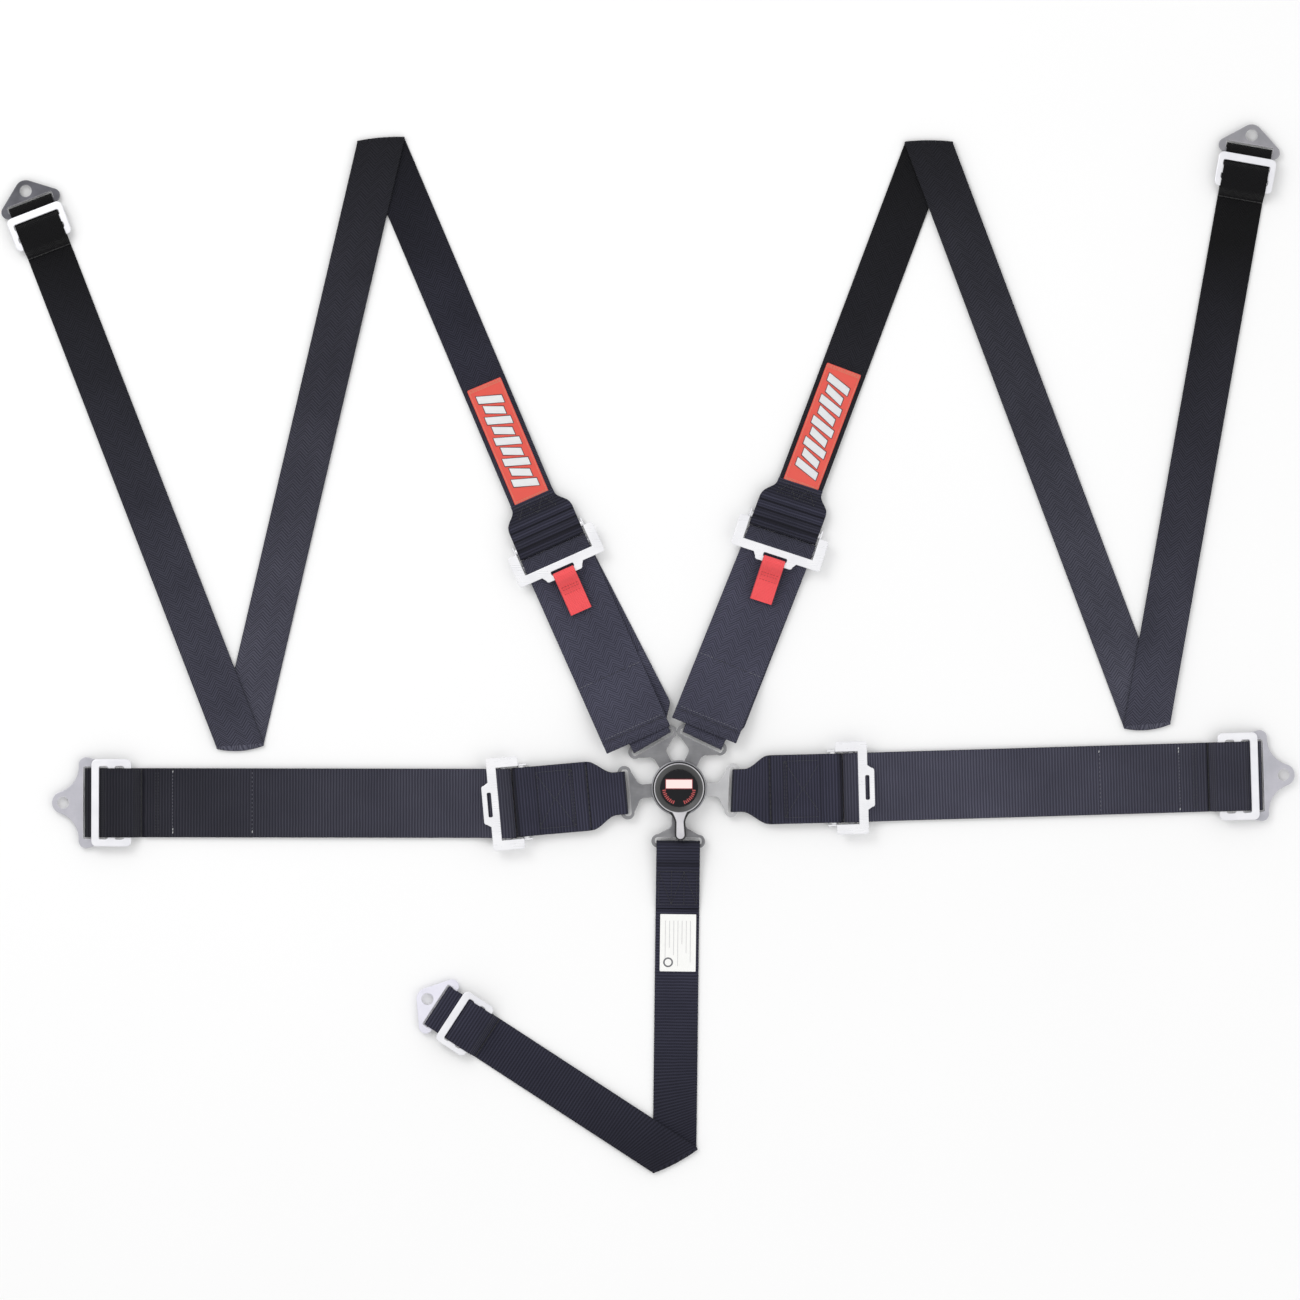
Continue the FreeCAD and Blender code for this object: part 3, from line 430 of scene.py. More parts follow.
class Shader:
    """Short-hand for building a node tree round one Principled surface. Colours have no alpha."""

    def __init__(self, name):
        self.material = bpy.data.materials.new(name)
        self.material.use_nodes = True
        self.tree = self.material.node_tree
        self.tree.nodes.clear()
        self.surface = self.node("BsdfPrincipled")
        output = self.node("OutputMaterial")
        self.tree.links.new(self.surface.outputs[0], output.inputs[0])

    def node(self, kind):
        return self.tree.nodes.new("ShaderNode" + kind)

    def put(self, target, value):
        if isinstance(value, bpy.types.NodeSocket):
            self.tree.links.new(value, target)
        else:
            target.default_value = (*value, 1.0) if isinstance(value, tuple) else value

    def set(self, **values):
        for name, value in values.items():
            self.put(self.surface.inputs[name.replace("_", " ")], value)

    def math(self, operation, a, b=0.0, clamp=False):
        node = self.node("Math")
        node.operation = operation
        node.use_clamp = clamp
        self.put(node.inputs[0], a)
        self.put(node.inputs[1], b)
        return node.outputs[0]

    def add(self, a, b, clamp=False):
        return self.math("ADD", a, b, clamp)

    def times(self, a, b, clamp=False):
        return self.math("MULTIPLY", a, b, clamp)

    def wave(self, value, pitch):
        return self.math("SINE", self.times(value, 2 * math.pi / pitch))

    def coordinates(self, kind="Object"):
        return self.node("TexCoord").outputs[kind]

    def split(self, vector):
        parts = self.node("SeparateXYZ")
        self.tree.links.new(vector, parts.inputs[0])
        return parts.outputs

    def weave_uv(self):
        """Millimetres along and across the belt."""
        node = self.node("UVMap")
        node.uv_map = "weave"
        parts = self.split(node.outputs[0])
        return self.times(parts[0], 1 / MM), self.times(parts[1], 1 / MM)

    def noise(self, scale, detail=3.0, vector=None, roughness=0.5):
        node = self.node("TexNoise")
        self.put(node.inputs["Vector"], vector or self.coordinates())
        self.put(node.inputs["Scale"], scale)
        self.put(node.inputs["Detail"], detail)
        self.put(node.inputs["Roughness"], roughness)
        return node.outputs[0]

    def stretched(self, x, y, z):
        node = self.node("Mapping")
        self.tree.links.new(self.coordinates(), node.inputs[0])
        node.inputs["Scale"].default_value = (x, y, z)
        return node.outputs[0]

    def ramp(self, value, stops):
        """A grey for each value, from stops of (value, grey)."""
        node = self.node("ValToRGB")
        self.put(node.inputs[0], value)
        while len(node.color_ramp.elements) < len(stops):
            node.color_ramp.elements.new(0.5)
        for element, (place, grey) in zip(node.color_ramp.elements, stops):
            element.position = place
            element.color = (grey, grey, grey, 1.0)
        return node.outputs[0]

    def mixed(self, factor, a, b, blend="MIX"):
        node = self.node("Mix")
        node.data_type = "RGBA"
        node.blend_type = blend
        for socket, value in ((0, factor), (6, a), (7, b)):
            self.put(node.inputs[socket], value)
        return node.outputs[2]

    def bump(self, height, distance):
        node = self.node("Bump")
        self.put(node.inputs["Distance"], distance)
        self.put(node.inputs["Strength"], 1.0)
        self.put(node.inputs["Height"], height)
        self.tree.links.new(node.outputs[0], self.surface.inputs["Normal"])

    def edges(self, radius, strength):
        """Near 1 on edges, 0 on flats."""
        bevel = self.node("Bevel")
        bevel.samples = 4
        self.put(bevel.inputs["Radius"], radius)
        dot = self.node("VectorMath")
        dot.operation = "DOT_PRODUCT"
        self.put(dot.inputs[0], bevel.outputs[0])
        self.put(dot.inputs[1], self.node("NewGeometry").outputs["Normal"])
        away = self.math("SUBTRACT", 1.0, dot.outputs["Value"], clamp=True)
        return self.times(away, strength, clamp=True)


def scaled(colour, share):
    return tuple(part * share for part in colour)


YARN_PITCH = 2.4        # yarns that cross the ribs
TWILL_PITCH = 3.3
HERRINGBONE = 9.0       # width in which a twill keeps its slant
RIB_DEPTH = 0.0005      # in metres, like every distance given to bump
TWILL_DEPTH = 0.0004


def webbing(name, colour, light, rib, twill, depth, clouding=0.7, painted_light_falloff=None):
    """Woven polyester: cross ribs every `rib` mm with yarns that cross them, or a fine diagonal twill. colour is
    the shaded yarns' tone and light the lit yarns' tone, a painted shade and a painted highlight of the weave. The
    last argument paints a shading falloff: the axis the cloth darkens along, where it starts, where it ends and
    the share of brightness left."""
    s = Shader(name)
    along, across = s.weave_uv()
    ribs = s.wave(s.add(along, s.times(s.noise(90.0, 2.0), 0.9)), rib)
    crossing = s.times(ribs, s.wave(across, YARN_PITCH))
    if twill:
        diagonal = s.wave(s.add(along, s.math("PINGPONG", across, HERRINGBONE)), TWILL_PITCH)
        height = s.add(s.times(diagonal, 0.7), s.times(crossing, 0.5))
    else:
        height = s.add(s.times(ribs, 0.8), s.times(crossing, 0.35))
    raised = s.add(s.times(height, 0.5), 0.5, clamp=True)
    lint = s.ramp(s.noise(900.0, 2.0, roughness=0.7), [(0.66, 0.0), (0.8, 0.35)])
    # Painted light of the weave: raised yarns take the lit tone, low ones the shaded tone.
    tone = s.mixed(raised, colour, light)
    tone = s.mixed(s.times(s.noise(14.0, 4.0), clouding), tone, scaled(colour, 0.62))
    tone = s.mixed(s.times(lint, 0.35), tone, tuple(min(1.0, part * 3.2 + 0.02) for part in colour))
    # Painted shade: the per-vertex shade layer darkens the cloth where shade would fall, in creases, valleys,
    # turns, seams and along edges.
    dark = s.node("Attribute")
    dark.attribute_name = "shade"
    tone = s.mixed(dark.outputs["Fac"], tone, scaled(colour, 0.12))
    # Painted shading falloff: the cloth darkens along one axis of the object's coordinates.
    if painted_light_falloff:
        axis, start, end, share = painted_light_falloff
        place = s.split(s.coordinates())[axis]
        way = s.math("DIVIDE", s.math("SUBTRACT", place, start), end - start, clamp=True)
        tone = s.mixed(1.0, tone, s.ramp(way, [(0.0, 1.0), (1.0, share)]), "MULTIPLY")
    s.set(Base_Color=tone, Roughness=0.8, Sheen_Weight=0.06, Sheen_Roughness=0.45, Specular_IOR_Level=0.18)
    s.bump(height, depth)
    return s.material


def black_cloth(name, shaded, lit, rib, twill=True, depth=TWILL_DEPTH, painted_light_falloff=None):
    """Black webbing with a blue cast. Each of its two tones is a grey and a blue: the first is painted as the
    shaded yarns, the second as the lit yarns.
    """
    colours = [(grey, grey, blue) for grey, blue in (shaded, lit)]
    return webbing(name + "_webbing", *colours, rib, twill, depth, painted_light_falloff=painted_light_falloff)


def thread_material(name, colour):
    s = Shader(name)
    s.set(Base_Color=s.mixed(s.noise(700.0), colour, scaled(colour, 0.6)), Roughness=0.55, Sheen_Weight=0.2)
    s.bump(s.math("SINE", s.times(s.noise(1400.0, 1.0), 14.0)), 0.00008)
    return s.material


LONG_GRAIN = (40.0, 600.0, 600.0)
STAMPED_GRAIN = (90.0, 350.0, 350.0)
EVEN_GRAIN = (300.0, 300.0, 300.0)


def metal(name, colour, dark, roughness, grain=LONG_GRAIN, spots=0.25, wear_and_edge_light=None, metallic=1.0):
    """Worked metal: brushed grain, cloudy tone, fine pits, and edges in a colour of their own, which stands for
    worn edges and for painted light: a painted highlight where it is lighter than the metal, painted shade where
    it is darker.
    """
    s = Shader(name)
    grained = s.noise(1.0, 4.0, s.stretched(*grain))
    tone = s.mixed(s.ramp(s.noise(45.0, 5.0), [(0.35, 0.0), (0.7, 1.0)]), colour, dark)
    tone = s.mixed(s.times(grained, spots), tone, dark)
    # Edge colour: worn edges together with painted light, lighter edges as a painted highlight and darker ones as
    # painted shade.
    if wear_and_edge_light:
        tone = s.mixed(s.edges(0.0012, 2.5), tone, wear_and_edge_light)
    rough = s.add(s.times(grained, 0.18), roughness - 0.06)
    s.set(Base_Color=tone, Metallic=metallic, Roughness=rough)
    s.bump(s.add(s.noise(1500.0, 2.0), s.times(grained, 0.4)), 0.00003)
    return s.material


def anodised_knob():
    """Black knob with a grey dished ring round its cap and a painted highlight: a bright line where the dish meets
    the rim.
    """
    s = Shader("anodised_black")
    place = s.split(s.node("NewGeometry").outputs["Position"])
    radius = s.math("SQRT", s.add(*[s.times(place[k], place[k]) for k in (0, 1)]))
    smear = s.noise(45.0, 5.0)
    # The band just outside DISH_R is a painted highlight line.
    bands = ((0.0, 0.012), (CAP_R, 0.05), (DISH_R, 0.08), (DISH_R + 0.6, 0.42), (DISH_R + 1.3, 0.012))
    tone = s.ramp(s.times(radius, 1 / (KNOB_R * MM)), [(band / KNOB_R, grey) for band, grey in bands])
    tone = s.mixed(s.times(smear, 0.35), tone, (0.010, 0.010, 0.014))
    tone = s.mixed(s.edges(0.0012, 2.5), tone, (0.16, 0.16, 0.17))
    s.set(Base_Color=tone, Metallic=0.4, Roughness=s.add(s.times(smear, 0.2), 0.28))
    s.bump(s.noise(1500.0, 2.0), 0.00005)
    return s.material


def plastic(name, colour, roughness, wear_and_edge_light, shine=0.5):
    s = Shader(name)
    rough = s.add(s.times(s.noise(60.0, 4.0), 0.25), roughness - 0.1)
    # Edge colour: worn edges together with a painted highlight, lighter than the face on every plastic here.
    tone = s.mixed(s.edges(0.0009, 1.6), colour, wear_and_edge_light)
    s.set(Base_Color=tone, Roughness=rough, Specular_IOR_Level=shine)
    s.bump(s.noise(2200.0, 2.0), 0.00004)
    return s.material


def embroidery(name, colour, dark, angle):
    """Satin stitch: close parallel threads with a sheen."""
    s = Shader(name)
    along, across = s.weave_uv()
    turn = math.radians(angle)
    lines = s.add(s.times(along, math.cos(turn)), s.times(across, math.sin(turn)))
    threads = s.wave(s.add(lines, s.times(s.noise(500.0, 2.0), 0.6)), 0.75)
    # Painted light of the satin: thread tops take the bright colour and the grooves between them the darker one,
    # as painted shade.
    tone = s.mixed(s.add(s.times(threads, 0.5), 0.5), dark, colour)
    tone = s.mixed(s.times(s.noise(80.0), 0.35), tone, dark)
    s.set(Base_Color=tone, Roughness=0.5, Sheen_Weight=0.25, Sheen_Roughness=0.3)
    s.bump(threads, 0.00018)
    return s.material


def satin_label():
    s = Shader("satin_label")
    across = s.weave_uv()[1]
    tone = s.mixed(s.times(s.noise(120.0), 0.4), (0.96, 0.96, 0.94), (0.88, 0.88, 0.86))
    s.set(Base_Color=tone, Roughness=0.45)
    s.bump(s.wave(across, 0.6), 0.00005)
    return s.material


# A falloff given to a cloth here is a painted shading gradient, not a change in the webbing.
LAP_CLOTH = {
    "left_lap": black_cloth("left_lap", (0.030, 0.048), (0.116, 0.156), 3.2, False, RIB_DEPTH,
                            painted_light_falloff=(0, -0.20, -0.68, 0.2)),
    "right_lap": black_cloth("right_lap", (0.036, 0.056), (0.124, 0.174), 3.2, False, RIB_DEPTH,
                             painted_light_falloff=(0, 0.30, 0.68, 0.55)),
}
UPPER_CLOTH = {
    "left_shoulder": black_cloth("left_upper", (0.018, 0.032), (0.080, 0.122), 2.6,
                                 painted_light_falloff=(1, 0.28, 0.71, 0.15)),
    "right_shoulder": black_cloth("right_upper", (0.010, 0.016), (0.044, 0.058), 2.6,
                                  painted_light_falloff=(1, 0.28, 0.71, 0.1)),
}
LOOP_CLOTH = black_cloth("lap_loop", (0.017, 0.030), (0.070, 0.112), 3.3, False, RIB_DEPTH)
TAIL_CLOTH = black_cloth("tail", (0.032, 0.052), (0.118, 0.172), 2.6)
MIDDLE_CLOTH = black_cloth("shoulder", (0.036, 0.056), (0.146, 0.192), 2.6, painted_light_falloff=(1, 0.05, 0.72, 0.12))
BLACK_CLOTH = black_cloth("black", (0.024, 0.038), (0.102, 0.142), 2.6, painted_light_falloff=(1, 0.12, 0.60, 0.03))
SUB_CLOTH = black_cloth("sub", (0.014, 0.026), (0.058, 0.094), 3.4, False, painted_light_falloff=(1, -0.22, -0.42, 0.5))
TAB_RED = webbing("tab_red", (1.0, 0.08, 0.09), (1.0, 0.15, 0.16), 1.5, False, 0.0003, clouding=0.15)
DARK_THREAD = thread_material("dark_thread", (0.016, 0.016, 0.024))
# A black material for cords that are painted shade lines, not stitching.
SHADE_LINE_CORD = thread_material("shade_line_cord", (0.004, 0.004, 0.005))
GREY_THREAD = thread_material("grey_thread", (0.16, 0.16, 0.20))
WHITE_THREAD = thread_material("white_thread", (0.85, 0.85, 0.87))
PATCH_THREAD = thread_material("patch_thread", (1.0, 0.36, 0.24))
PATCH_RED = embroidery("patch_red", (1.0, 0.15, 0.11), (0.94, 0.10, 0.075), 90)
PATCH_WHITE = embroidery("patch_white", (1.0, 1.0, 1.0), (0.96, 0.97, 1.0), 20)
PATCH_BLACK = embroidery("patch_black", (0.02, 0.02, 0.035), (0.008, 0.008, 0.014), 20)
LABEL_WHITE = satin_label()
FAINT_INK = plastic("faint_ink", (0.52, 0.52, 0.53), 0.6, (0.6, 0.6, 0.6))
LABEL_INK = plastic("label_ink", (0.13, 0.13, 0.14), 0.6, (0.25, 0.25, 0.27))

# Metals by name: colour, darker tone, roughness, grain, spots, colour of the edges and metallic share. The edge
# colour stands for worn edges and for painted light: a painted highlight where it is lighter than the metal,
# painted shade where it is darker.
METALS = {name: metal(name, *values) for name, values in {
    "bright_trim": ((0.80, 0.79, 0.81), (0.60, 0.59, 0.62), 0.30, LONG_GRAIN, 0.3, (0.30, 0.30, 0.32)),
    "housing_steel": ((0.40, 0.40, 0.42), (0.28, 0.28, 0.30), 0.42, LONG_GRAIN, 0.25, (0.7, 0.7, 0.7)),
    "inner_steel": ((0.45, 0.45, 0.47), (0.33, 0.33, 0.35), 0.40),
    "spring_steel": ((0.32, 0.33, 0.38), (0.20, 0.21, 0.25), 0.35),
    "tongue_steel": ((0.31, 0.31, 0.32), (0.19, 0.19, 0.20), 0.50, STAMPED_GRAIN, 0.5, (0.62, 0.62, 0.63)),
    "bright_tongue": ((0.62, 0.62, 0.63), (0.48, 0.48, 0.49), 0.42, STAMPED_GRAIN, 0.4, (0.85, 0.85, 0.85)),
    "adjuster_steel": ((0.93, 0.93, 0.95), (0.84, 0.84, 0.87), 0.26, LONG_GRAIN, 0.15, (0.26, 0.26, 0.29),
                       0.5),
    "slide_alloy": ((0.89, 0.89, 0.92), (0.80, 0.80, 0.84), 0.34, LONG_GRAIN, 0.15, (0.45, 0.45, 0.48),
                    0.45),
    "bracket_steel": ((0.56, 0.55, 0.60), (0.46, 0.46, 0.50), 0.48, EVEN_GRAIN, 0.45, (0.83, 0.83, 0.85)),
    "dark_bracket": ((0.40, 0.39, 0.42), (0.29, 0.29, 0.31), 0.46, EVEN_GRAIN, 0.45, (0.72, 0.72, 0.74)),
    "bright_bracket": ((0.84, 0.83, 0.92), (0.74, 0.73, 0.82), 0.42, EVEN_GRAIN, 0.3, (0.55, 0.55, 0.60),
                       0.5),
    "black_bracket": ((0.15, 0.15, 0.17), (0.09, 0.09, 0.10), 0.46, EVEN_GRAIN, 0.45, (0.5, 0.5, 0.52)),
}.items()}
FINISHES = {
    **METALS,
    "anodised_black": anodised_knob(),
    "cap_black": plastic("cap_black", (0.006, 0.006, 0.008), 0.55, (0.09, 0.09, 0.10), shine=0.2),
}

# Two brackets differ from the finish of their slot.
BRACKET_FINISHES = {"sub_bracket": "bright_bracket", "left_shoulder_bracket": "black_bracket"}


def dress_cad_nodes():
    """Gives each metal node the finish of its material slot."""
    slots = {part["node"]: part["material_slot"] for part in frame["record"]["subparts"]}
    for name, node in frame["nodes"].items():
        finish = FINISHES.get(BRACKET_FINISHES.get(name, slots.get(name)))
        if finish:
            node.data.materials.clear()
            node.data.materials.append(finish)


# ---- Belts ----

def eye_line(x, turn_r, toward, reach, top, bottom, z=BAR_Z, bulge=None):
    """Centreline of a loop round a bar: in along the top, round, and out along the bottom."""
    spread = math.degrees(math.acos(turn_r / math.hypot(reach, top - z)))
    rise = math.degrees(math.atan2(top - z, reach))
    first = spread + rise
    points = arc(0.0, z, turn_r, first, 360.0 - first, 20, bulge)
    points = [(reach, top)] + points + [(reach, bottom)]
    return [(x + toward * px, pz) for px, pz in points]


def tongue_eye():
    """Centreline of a belt's sewn loop round a tongue's bar."""
    return eye_line(0.0, LOOP_R, 1, EYE_REACH, BAR_Z + HALF_GAP, BAR_Z - HALF_GAP)


def grip_turn():
    """Centreline of a free end's half turn round a grip bar, from below to on top."""
    return arc(0.0, BAR_Z, GRIP_TURN_R, -90.0, -270.0, 16, ROLL_BULGE)


def ending_line(length, bar, bulge, gap, slide, foot):
    """Centreline of a belt's end, for a course that runs towards its bolt: round the bracket's bar, under the
    slide's outer bar, over the other two, and down to the hem."""
    far = gap + slide
    under = BRACKET_Z + BRACKET_TURN_R
    window = (slide - 3 * SLIDE_BAR) / 2
    climb = gap + SLIDE_BAR + window / 2
    turn = arc(length - bar, BRACKET_Z, BRACKET_TURN_R, -90.0, 90.0, 16, bulge)
    back = [
        (length - bar, under),
        (length - climb + CLIMB, under),
        (length - climb - CLIMB, OVER_SLIDE_Z),
        (length - gap - slide / 2, OVER_SLIDE_Z + 0.25),
        (length - far - 1.0, OVER_SLIDE_Z),
        (length - far - 7.5, FLOOR_Z + WEBBING + 1.2),
        (length - far - 9.5, FLOOR_Z + WEBBING + 0.25),
    ]
    return [(length - foot, FLOOR_Z), (length - bar, FLOOR_Z)] + turn + rounded(back, 3.0)[1:]


def slack(depth, period):
    """A slow unevenness of a belt that lies loose, the same on both faces."""
    def relief(x, y, side):
        long = math.sin(2 * math.pi * x / period)
        short = math.sin(2 * math.pi * x / (period * 0.37) + y / 19.0)
        return depth * (1 + (long + 0.6 * short) * 0.6) * 0.5
    return relief


def darken_belt_end(name, course, far, half, body):
    """A black cord laid as a painted shadow line where the belt's end lies back on itself behind the slide."""
    edge = Thread(name + "_end_shade_line", SHADE_LINE_CORD, body, radius=0.6)
    x = course.length - far - 10.4
    edge.across(course, level(FLOOR_Z + WEBBING * 1.5), x, half - 0.5, stitch=6.0, gap=0.1)
    edge.finish()


def lap_belt(side):
    name = side + "_lap"
    grip = joint_point(name + "_run_level")
    lap_loop(name, Course(joint_point(name + "_lift"), joint_point(name + "_adjuster_tilt")))
    course = Course(grip, bolt_point(name))
    slant = joint_lean(course, name + "_run_level")
    lean = lambda s: slant * (1 - smoothstep(15.0, 55.0, s))
    lap_strap(name, course, lean)
    lap_tail(name, course, lean)


def lap_strap(name, course, lean):
    """The adjustable belt with its end webbing, from under the grip bar to the hem behind the slide."""
    length = course.length
    gap = GAP[name]
    foot = gap + WIDE_SLIDE + 10.0
    line = rounded([(0.0, 2.0), (8.0, 2.0), (30.0, FLOOR_Z), (length - foot, FLOOR_Z)])[:-1]
    line += ending_line(length, WIDE_BAR, WIDE_BULGE, gap, WIDE_SLIDE, foot)
    strap = belt(name + "_strap", course, line, WIDE, LAP_CLOTH[name], lean=lean, relief=slack(0.12, 140.0))
    course.at(90, 0, 0)
    course.at(length - foot - 90, 0, 0)
    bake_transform(strap)
    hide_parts(name + "_run", name + "_end_loop")
    darken_belt_end(name, course, gap + WIDE_SLIDE, WIDE, name + "_end")


def lap_tail(name, course, lean):
    """Free end of a lap belt: round the grip bar and back along the top of the strap."""
    end = LAP_TAIL[name]
    rest = FLOOR_Z + WEBBING + 0.36
    free = rounded([
        (0.0, BAR_Z + GRIP_TURN_R),
        (9.0, 13.15),
        (15.0, 12.25),
        (31.0, rest + 1.0),
        (60.0, rest),
        (end, rest),
    ])
    # The turn round the grip bar gets painted shade.
    tail = belt(name + "_free_end", course, grip_turn() + free[1:], WIDE, LAP_CLOTH[name], lean=lean,
                relief=slack(0.14, 95.0), shade=lambda x: 0.25 * (1 - smoothstep(2.0, 9.0, x)))
    course.at(45, 0, 0)
    course.at(end - 95, 0, 0)
    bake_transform(tail)
    settle(tail, name + "_tail")
    lap_tail_stitches(name, course, end, rest + WEBBING / 2)


def lap_tail_stitches(name, course, end, z):
    """Hem rows near the free end of a lap belt, with a few light thread ends."""
    body = name + "_tail"
    dark = Thread(name + "_hem_stitch", DARK_THREAD, body)
    for inset in (12.0, 15.0):
        dark.across(course, level(z), end - inset, 34.0, stitch=2.2)
    dark.finish()
    light = Thread(name + "_light_stitch", GREY_THREAD, body, radius=0.35)
    light.across(course, level(z), end - 30.5, 35.0, stitch=2.0, gap=1.6)
    light.across(course, level(z), end - 118.0, 35.0, stitch=1.8, gap=2.6)
    light.finish()
    white = Thread(name + "_thread_ends", WHITE_THREAD, body, radius=0.42)
    for inset, y in ((30.5, 34.0), (30.5, -33.0), (118.0, 33.0), (30.5, 30.5)):
        x = end - inset
        white.strand(course.at(x, y, z), course.at(x - 0.4, y - 2.6, z))
    white.finish()


def lap_loop(name, course):
    """Sewn loop between tongue and adjuster, bunched into the tongue's slot."""
    length = course.length
    top = BAR_Z + HALF_GAP
    far = eye_line(length, LOOP_R, -1, EYE_REACH, top, BAR_Z - HALF_GAP, bulge=EYE_BULGE)
    line = [(length / 2, top)] + tongue_eye() + list(reversed(far)) + [(length / 2, top)]
    lean_near = joint_lean(course, name + "_lift")
    lean_far = joint_lean(course, name + "_adjuster_tilt")

    def half(x):
        return mix(GATHERED, WIDE, smoothstep(5.0, 38.0, x) * 0.5 + 0.5 * smoothstep(8.0, 33.0, x))

    def lean_at(x):
        near = lean_near * (1 - smoothstep(8.0, 40.0, x))
        return near + lean_far * smoothstep(length - 30.0, length - 6.0, x)

    def relief(x, y, side):
        edge = min(1.0, abs(y) / GATHERED)
        pleats = 0.75 * (1 - smoothstep(4.0, 40.0, x)) * math.cos(abs(y) * 0.62 + x * 0.02) * edge
        if side == 1:
            return pleats
        inner_layer = smoothstep(35.0, 36.4, x) * (1 - smoothstep(95.0, 99.0, x))
        flat = smoothstep(18.0, 40.0, x) * (1 - smoothstep(length - 24.0, length - 8.0, x))
        crown = 0.5 * (1 - (y / WIDE) ** 2) * flat
        return pleats + 0.44 * inner_layer + 0.28 * hump(33.5, 2.0, x) + crown

    # Painted shade: dark lines at the inner layer's edge and the box rows, and darker cloth at both turns.
    def shade(x):
        seam = 0.9 * hump(SEAM_AT, 1.0, x)
        box = 0.35 * (hump(BOX_START + 1.3, 1.3, x) + hump(BOX_END - 0.7, 1.3, x))
        at_adjuster = 0.6 * smoothstep(length + 4.0, length + 8.0, x)
        at_tongue = 0.5 * (1 - smoothstep(-6.0, -2.5, x))
        return max(seam, box, at_adjuster, at_tongue)

    loop = belt(name + "_sewn_loop", course, line, half, LOOP_CLOTH, closed=True, relief=relief, shade=shade,
                step=1.5, middle=26, lean_at=lean_at)
    settle(loop, name + "_loop", name + "_loop")
    lap_loop_stitches(name, course, top + WEBBING / 2)


def lap_loop_stitches(name, course, z):
    """Sewn box with a point at either end, and a black cord as a painted shade line along the edge of the inner
    layer.
    """
    thread = Thread(name + "_box_stitch", DARK_THREAD, name + "_loop")
    surface = level(z + 0.89)
    for x in (BOX_START, BOX_END - 2.0):
        for shift in (0.0, 2.6):
            thread.across(course, surface, x + shift, BOX_HALF)
    for y in (-BOX_HALF, BOX_HALF):
        thread.seam(course, surface, (BOX_START, y), (BOX_END, y))
    for x, point in ((BOX_START, BOX_START + 20.0), (BOX_END, BOX_END - 20.0)):
        thread.path(course, surface, [(x, -BOX_HALF), (point, 0.0), (x, BOX_HALF)])
    thread.finish()
    # A black cord as a painted shade line where the inner layer ends.
    edge = Thread(name + "_inner_shade_line", SHADE_LINE_CORD, name + "_loop", radius=0.5)
    edge.across(course, level(z + 0.5), SEAM_AT, 34.5, stitch=6.0, gap=0.1)
    edge.finish()


def shoulder_belt(side):
    name = side + "_shoulder"
    grip = joint_point(name + "_adjuster_tilt")
    first = joint_point(name + "_top_fold")
    second = joint_point(name + "_bottom_fold")
    lower_belt(name, Course(joint_point(name + "_lift"), grip))
    shoulder_tail(name, grip)
    upper = Course(joint_point(name + "_upper_level"), first)
    middle = Course(first, second)
    last = Course(second, bolt_point(name))
    upper_belt(name, upper, middle, UPPER_CLOTH[name])
    middle_belt(name, upper, middle, last)
    end_belt(name, middle, last, BLACK_CLOTH)
    for label, a, b, corner, bulge, bodies in (
        ("top", upper, middle, first, 1.5, (name + "_upper", name + "_middle")),
        ("bottom", middle, last, second, 4.0, (name + "_middle", name + "_end")),
    ):
        turn = fold(f"{name}_{label}_turn", a, b, corner, NARROW, MIDDLE_CLOTH, bulge)
        blend_fold(turn)


def lower_belt(name, course):
    """Belt from the tongue to the grip bar, its end turned back and sewn."""
    length = course.length
    double = FLOOR_Z + WEBBING + 0.1
    line = [(90.0, double), (44.0, double)] + tongue_eye()
    line += rounded([
        (EYE_REACH, BAR_Z - HALF_GAP),
        (44.0, FLOOR_Z),
        (length - 30.0, FLOOR_Z),
        (length - 10.0, 2.0),
        (length, 2.0),
    ])[1:]
    total = length + 100.0
    lean_near = joint_lean(course, name + "_lift")
    lean_far = joint_lean(course, name + "_adjuster_tilt")

    def half(x):
        return mix(GATHERED, WIDE, smoothstep(3.0, 27.0, x))

    def relief(x, y, side):
        return 0.6 * (1 - smoothstep(3.0, 30.0, x)) * math.cos(abs(y) * 0.62) * min(1.0, abs(y) / GATHERED)

    piece = belt(name + "_lower_strap", course, line, half, TAIL_CLOTH, relief=relief, step=4.0, middle=22,
                 lean=lambda s: lean_far * smoothstep(total - 60.0, total, s),
                 lean_at=lambda x: lean_near * (1 - smoothstep(8.0, 40.0, x)))
    course.at(96, 0, 0)
    course.at(length - 24, 0, 0)
    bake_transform(piece)
    settle(piece, name + "_lower_belt")


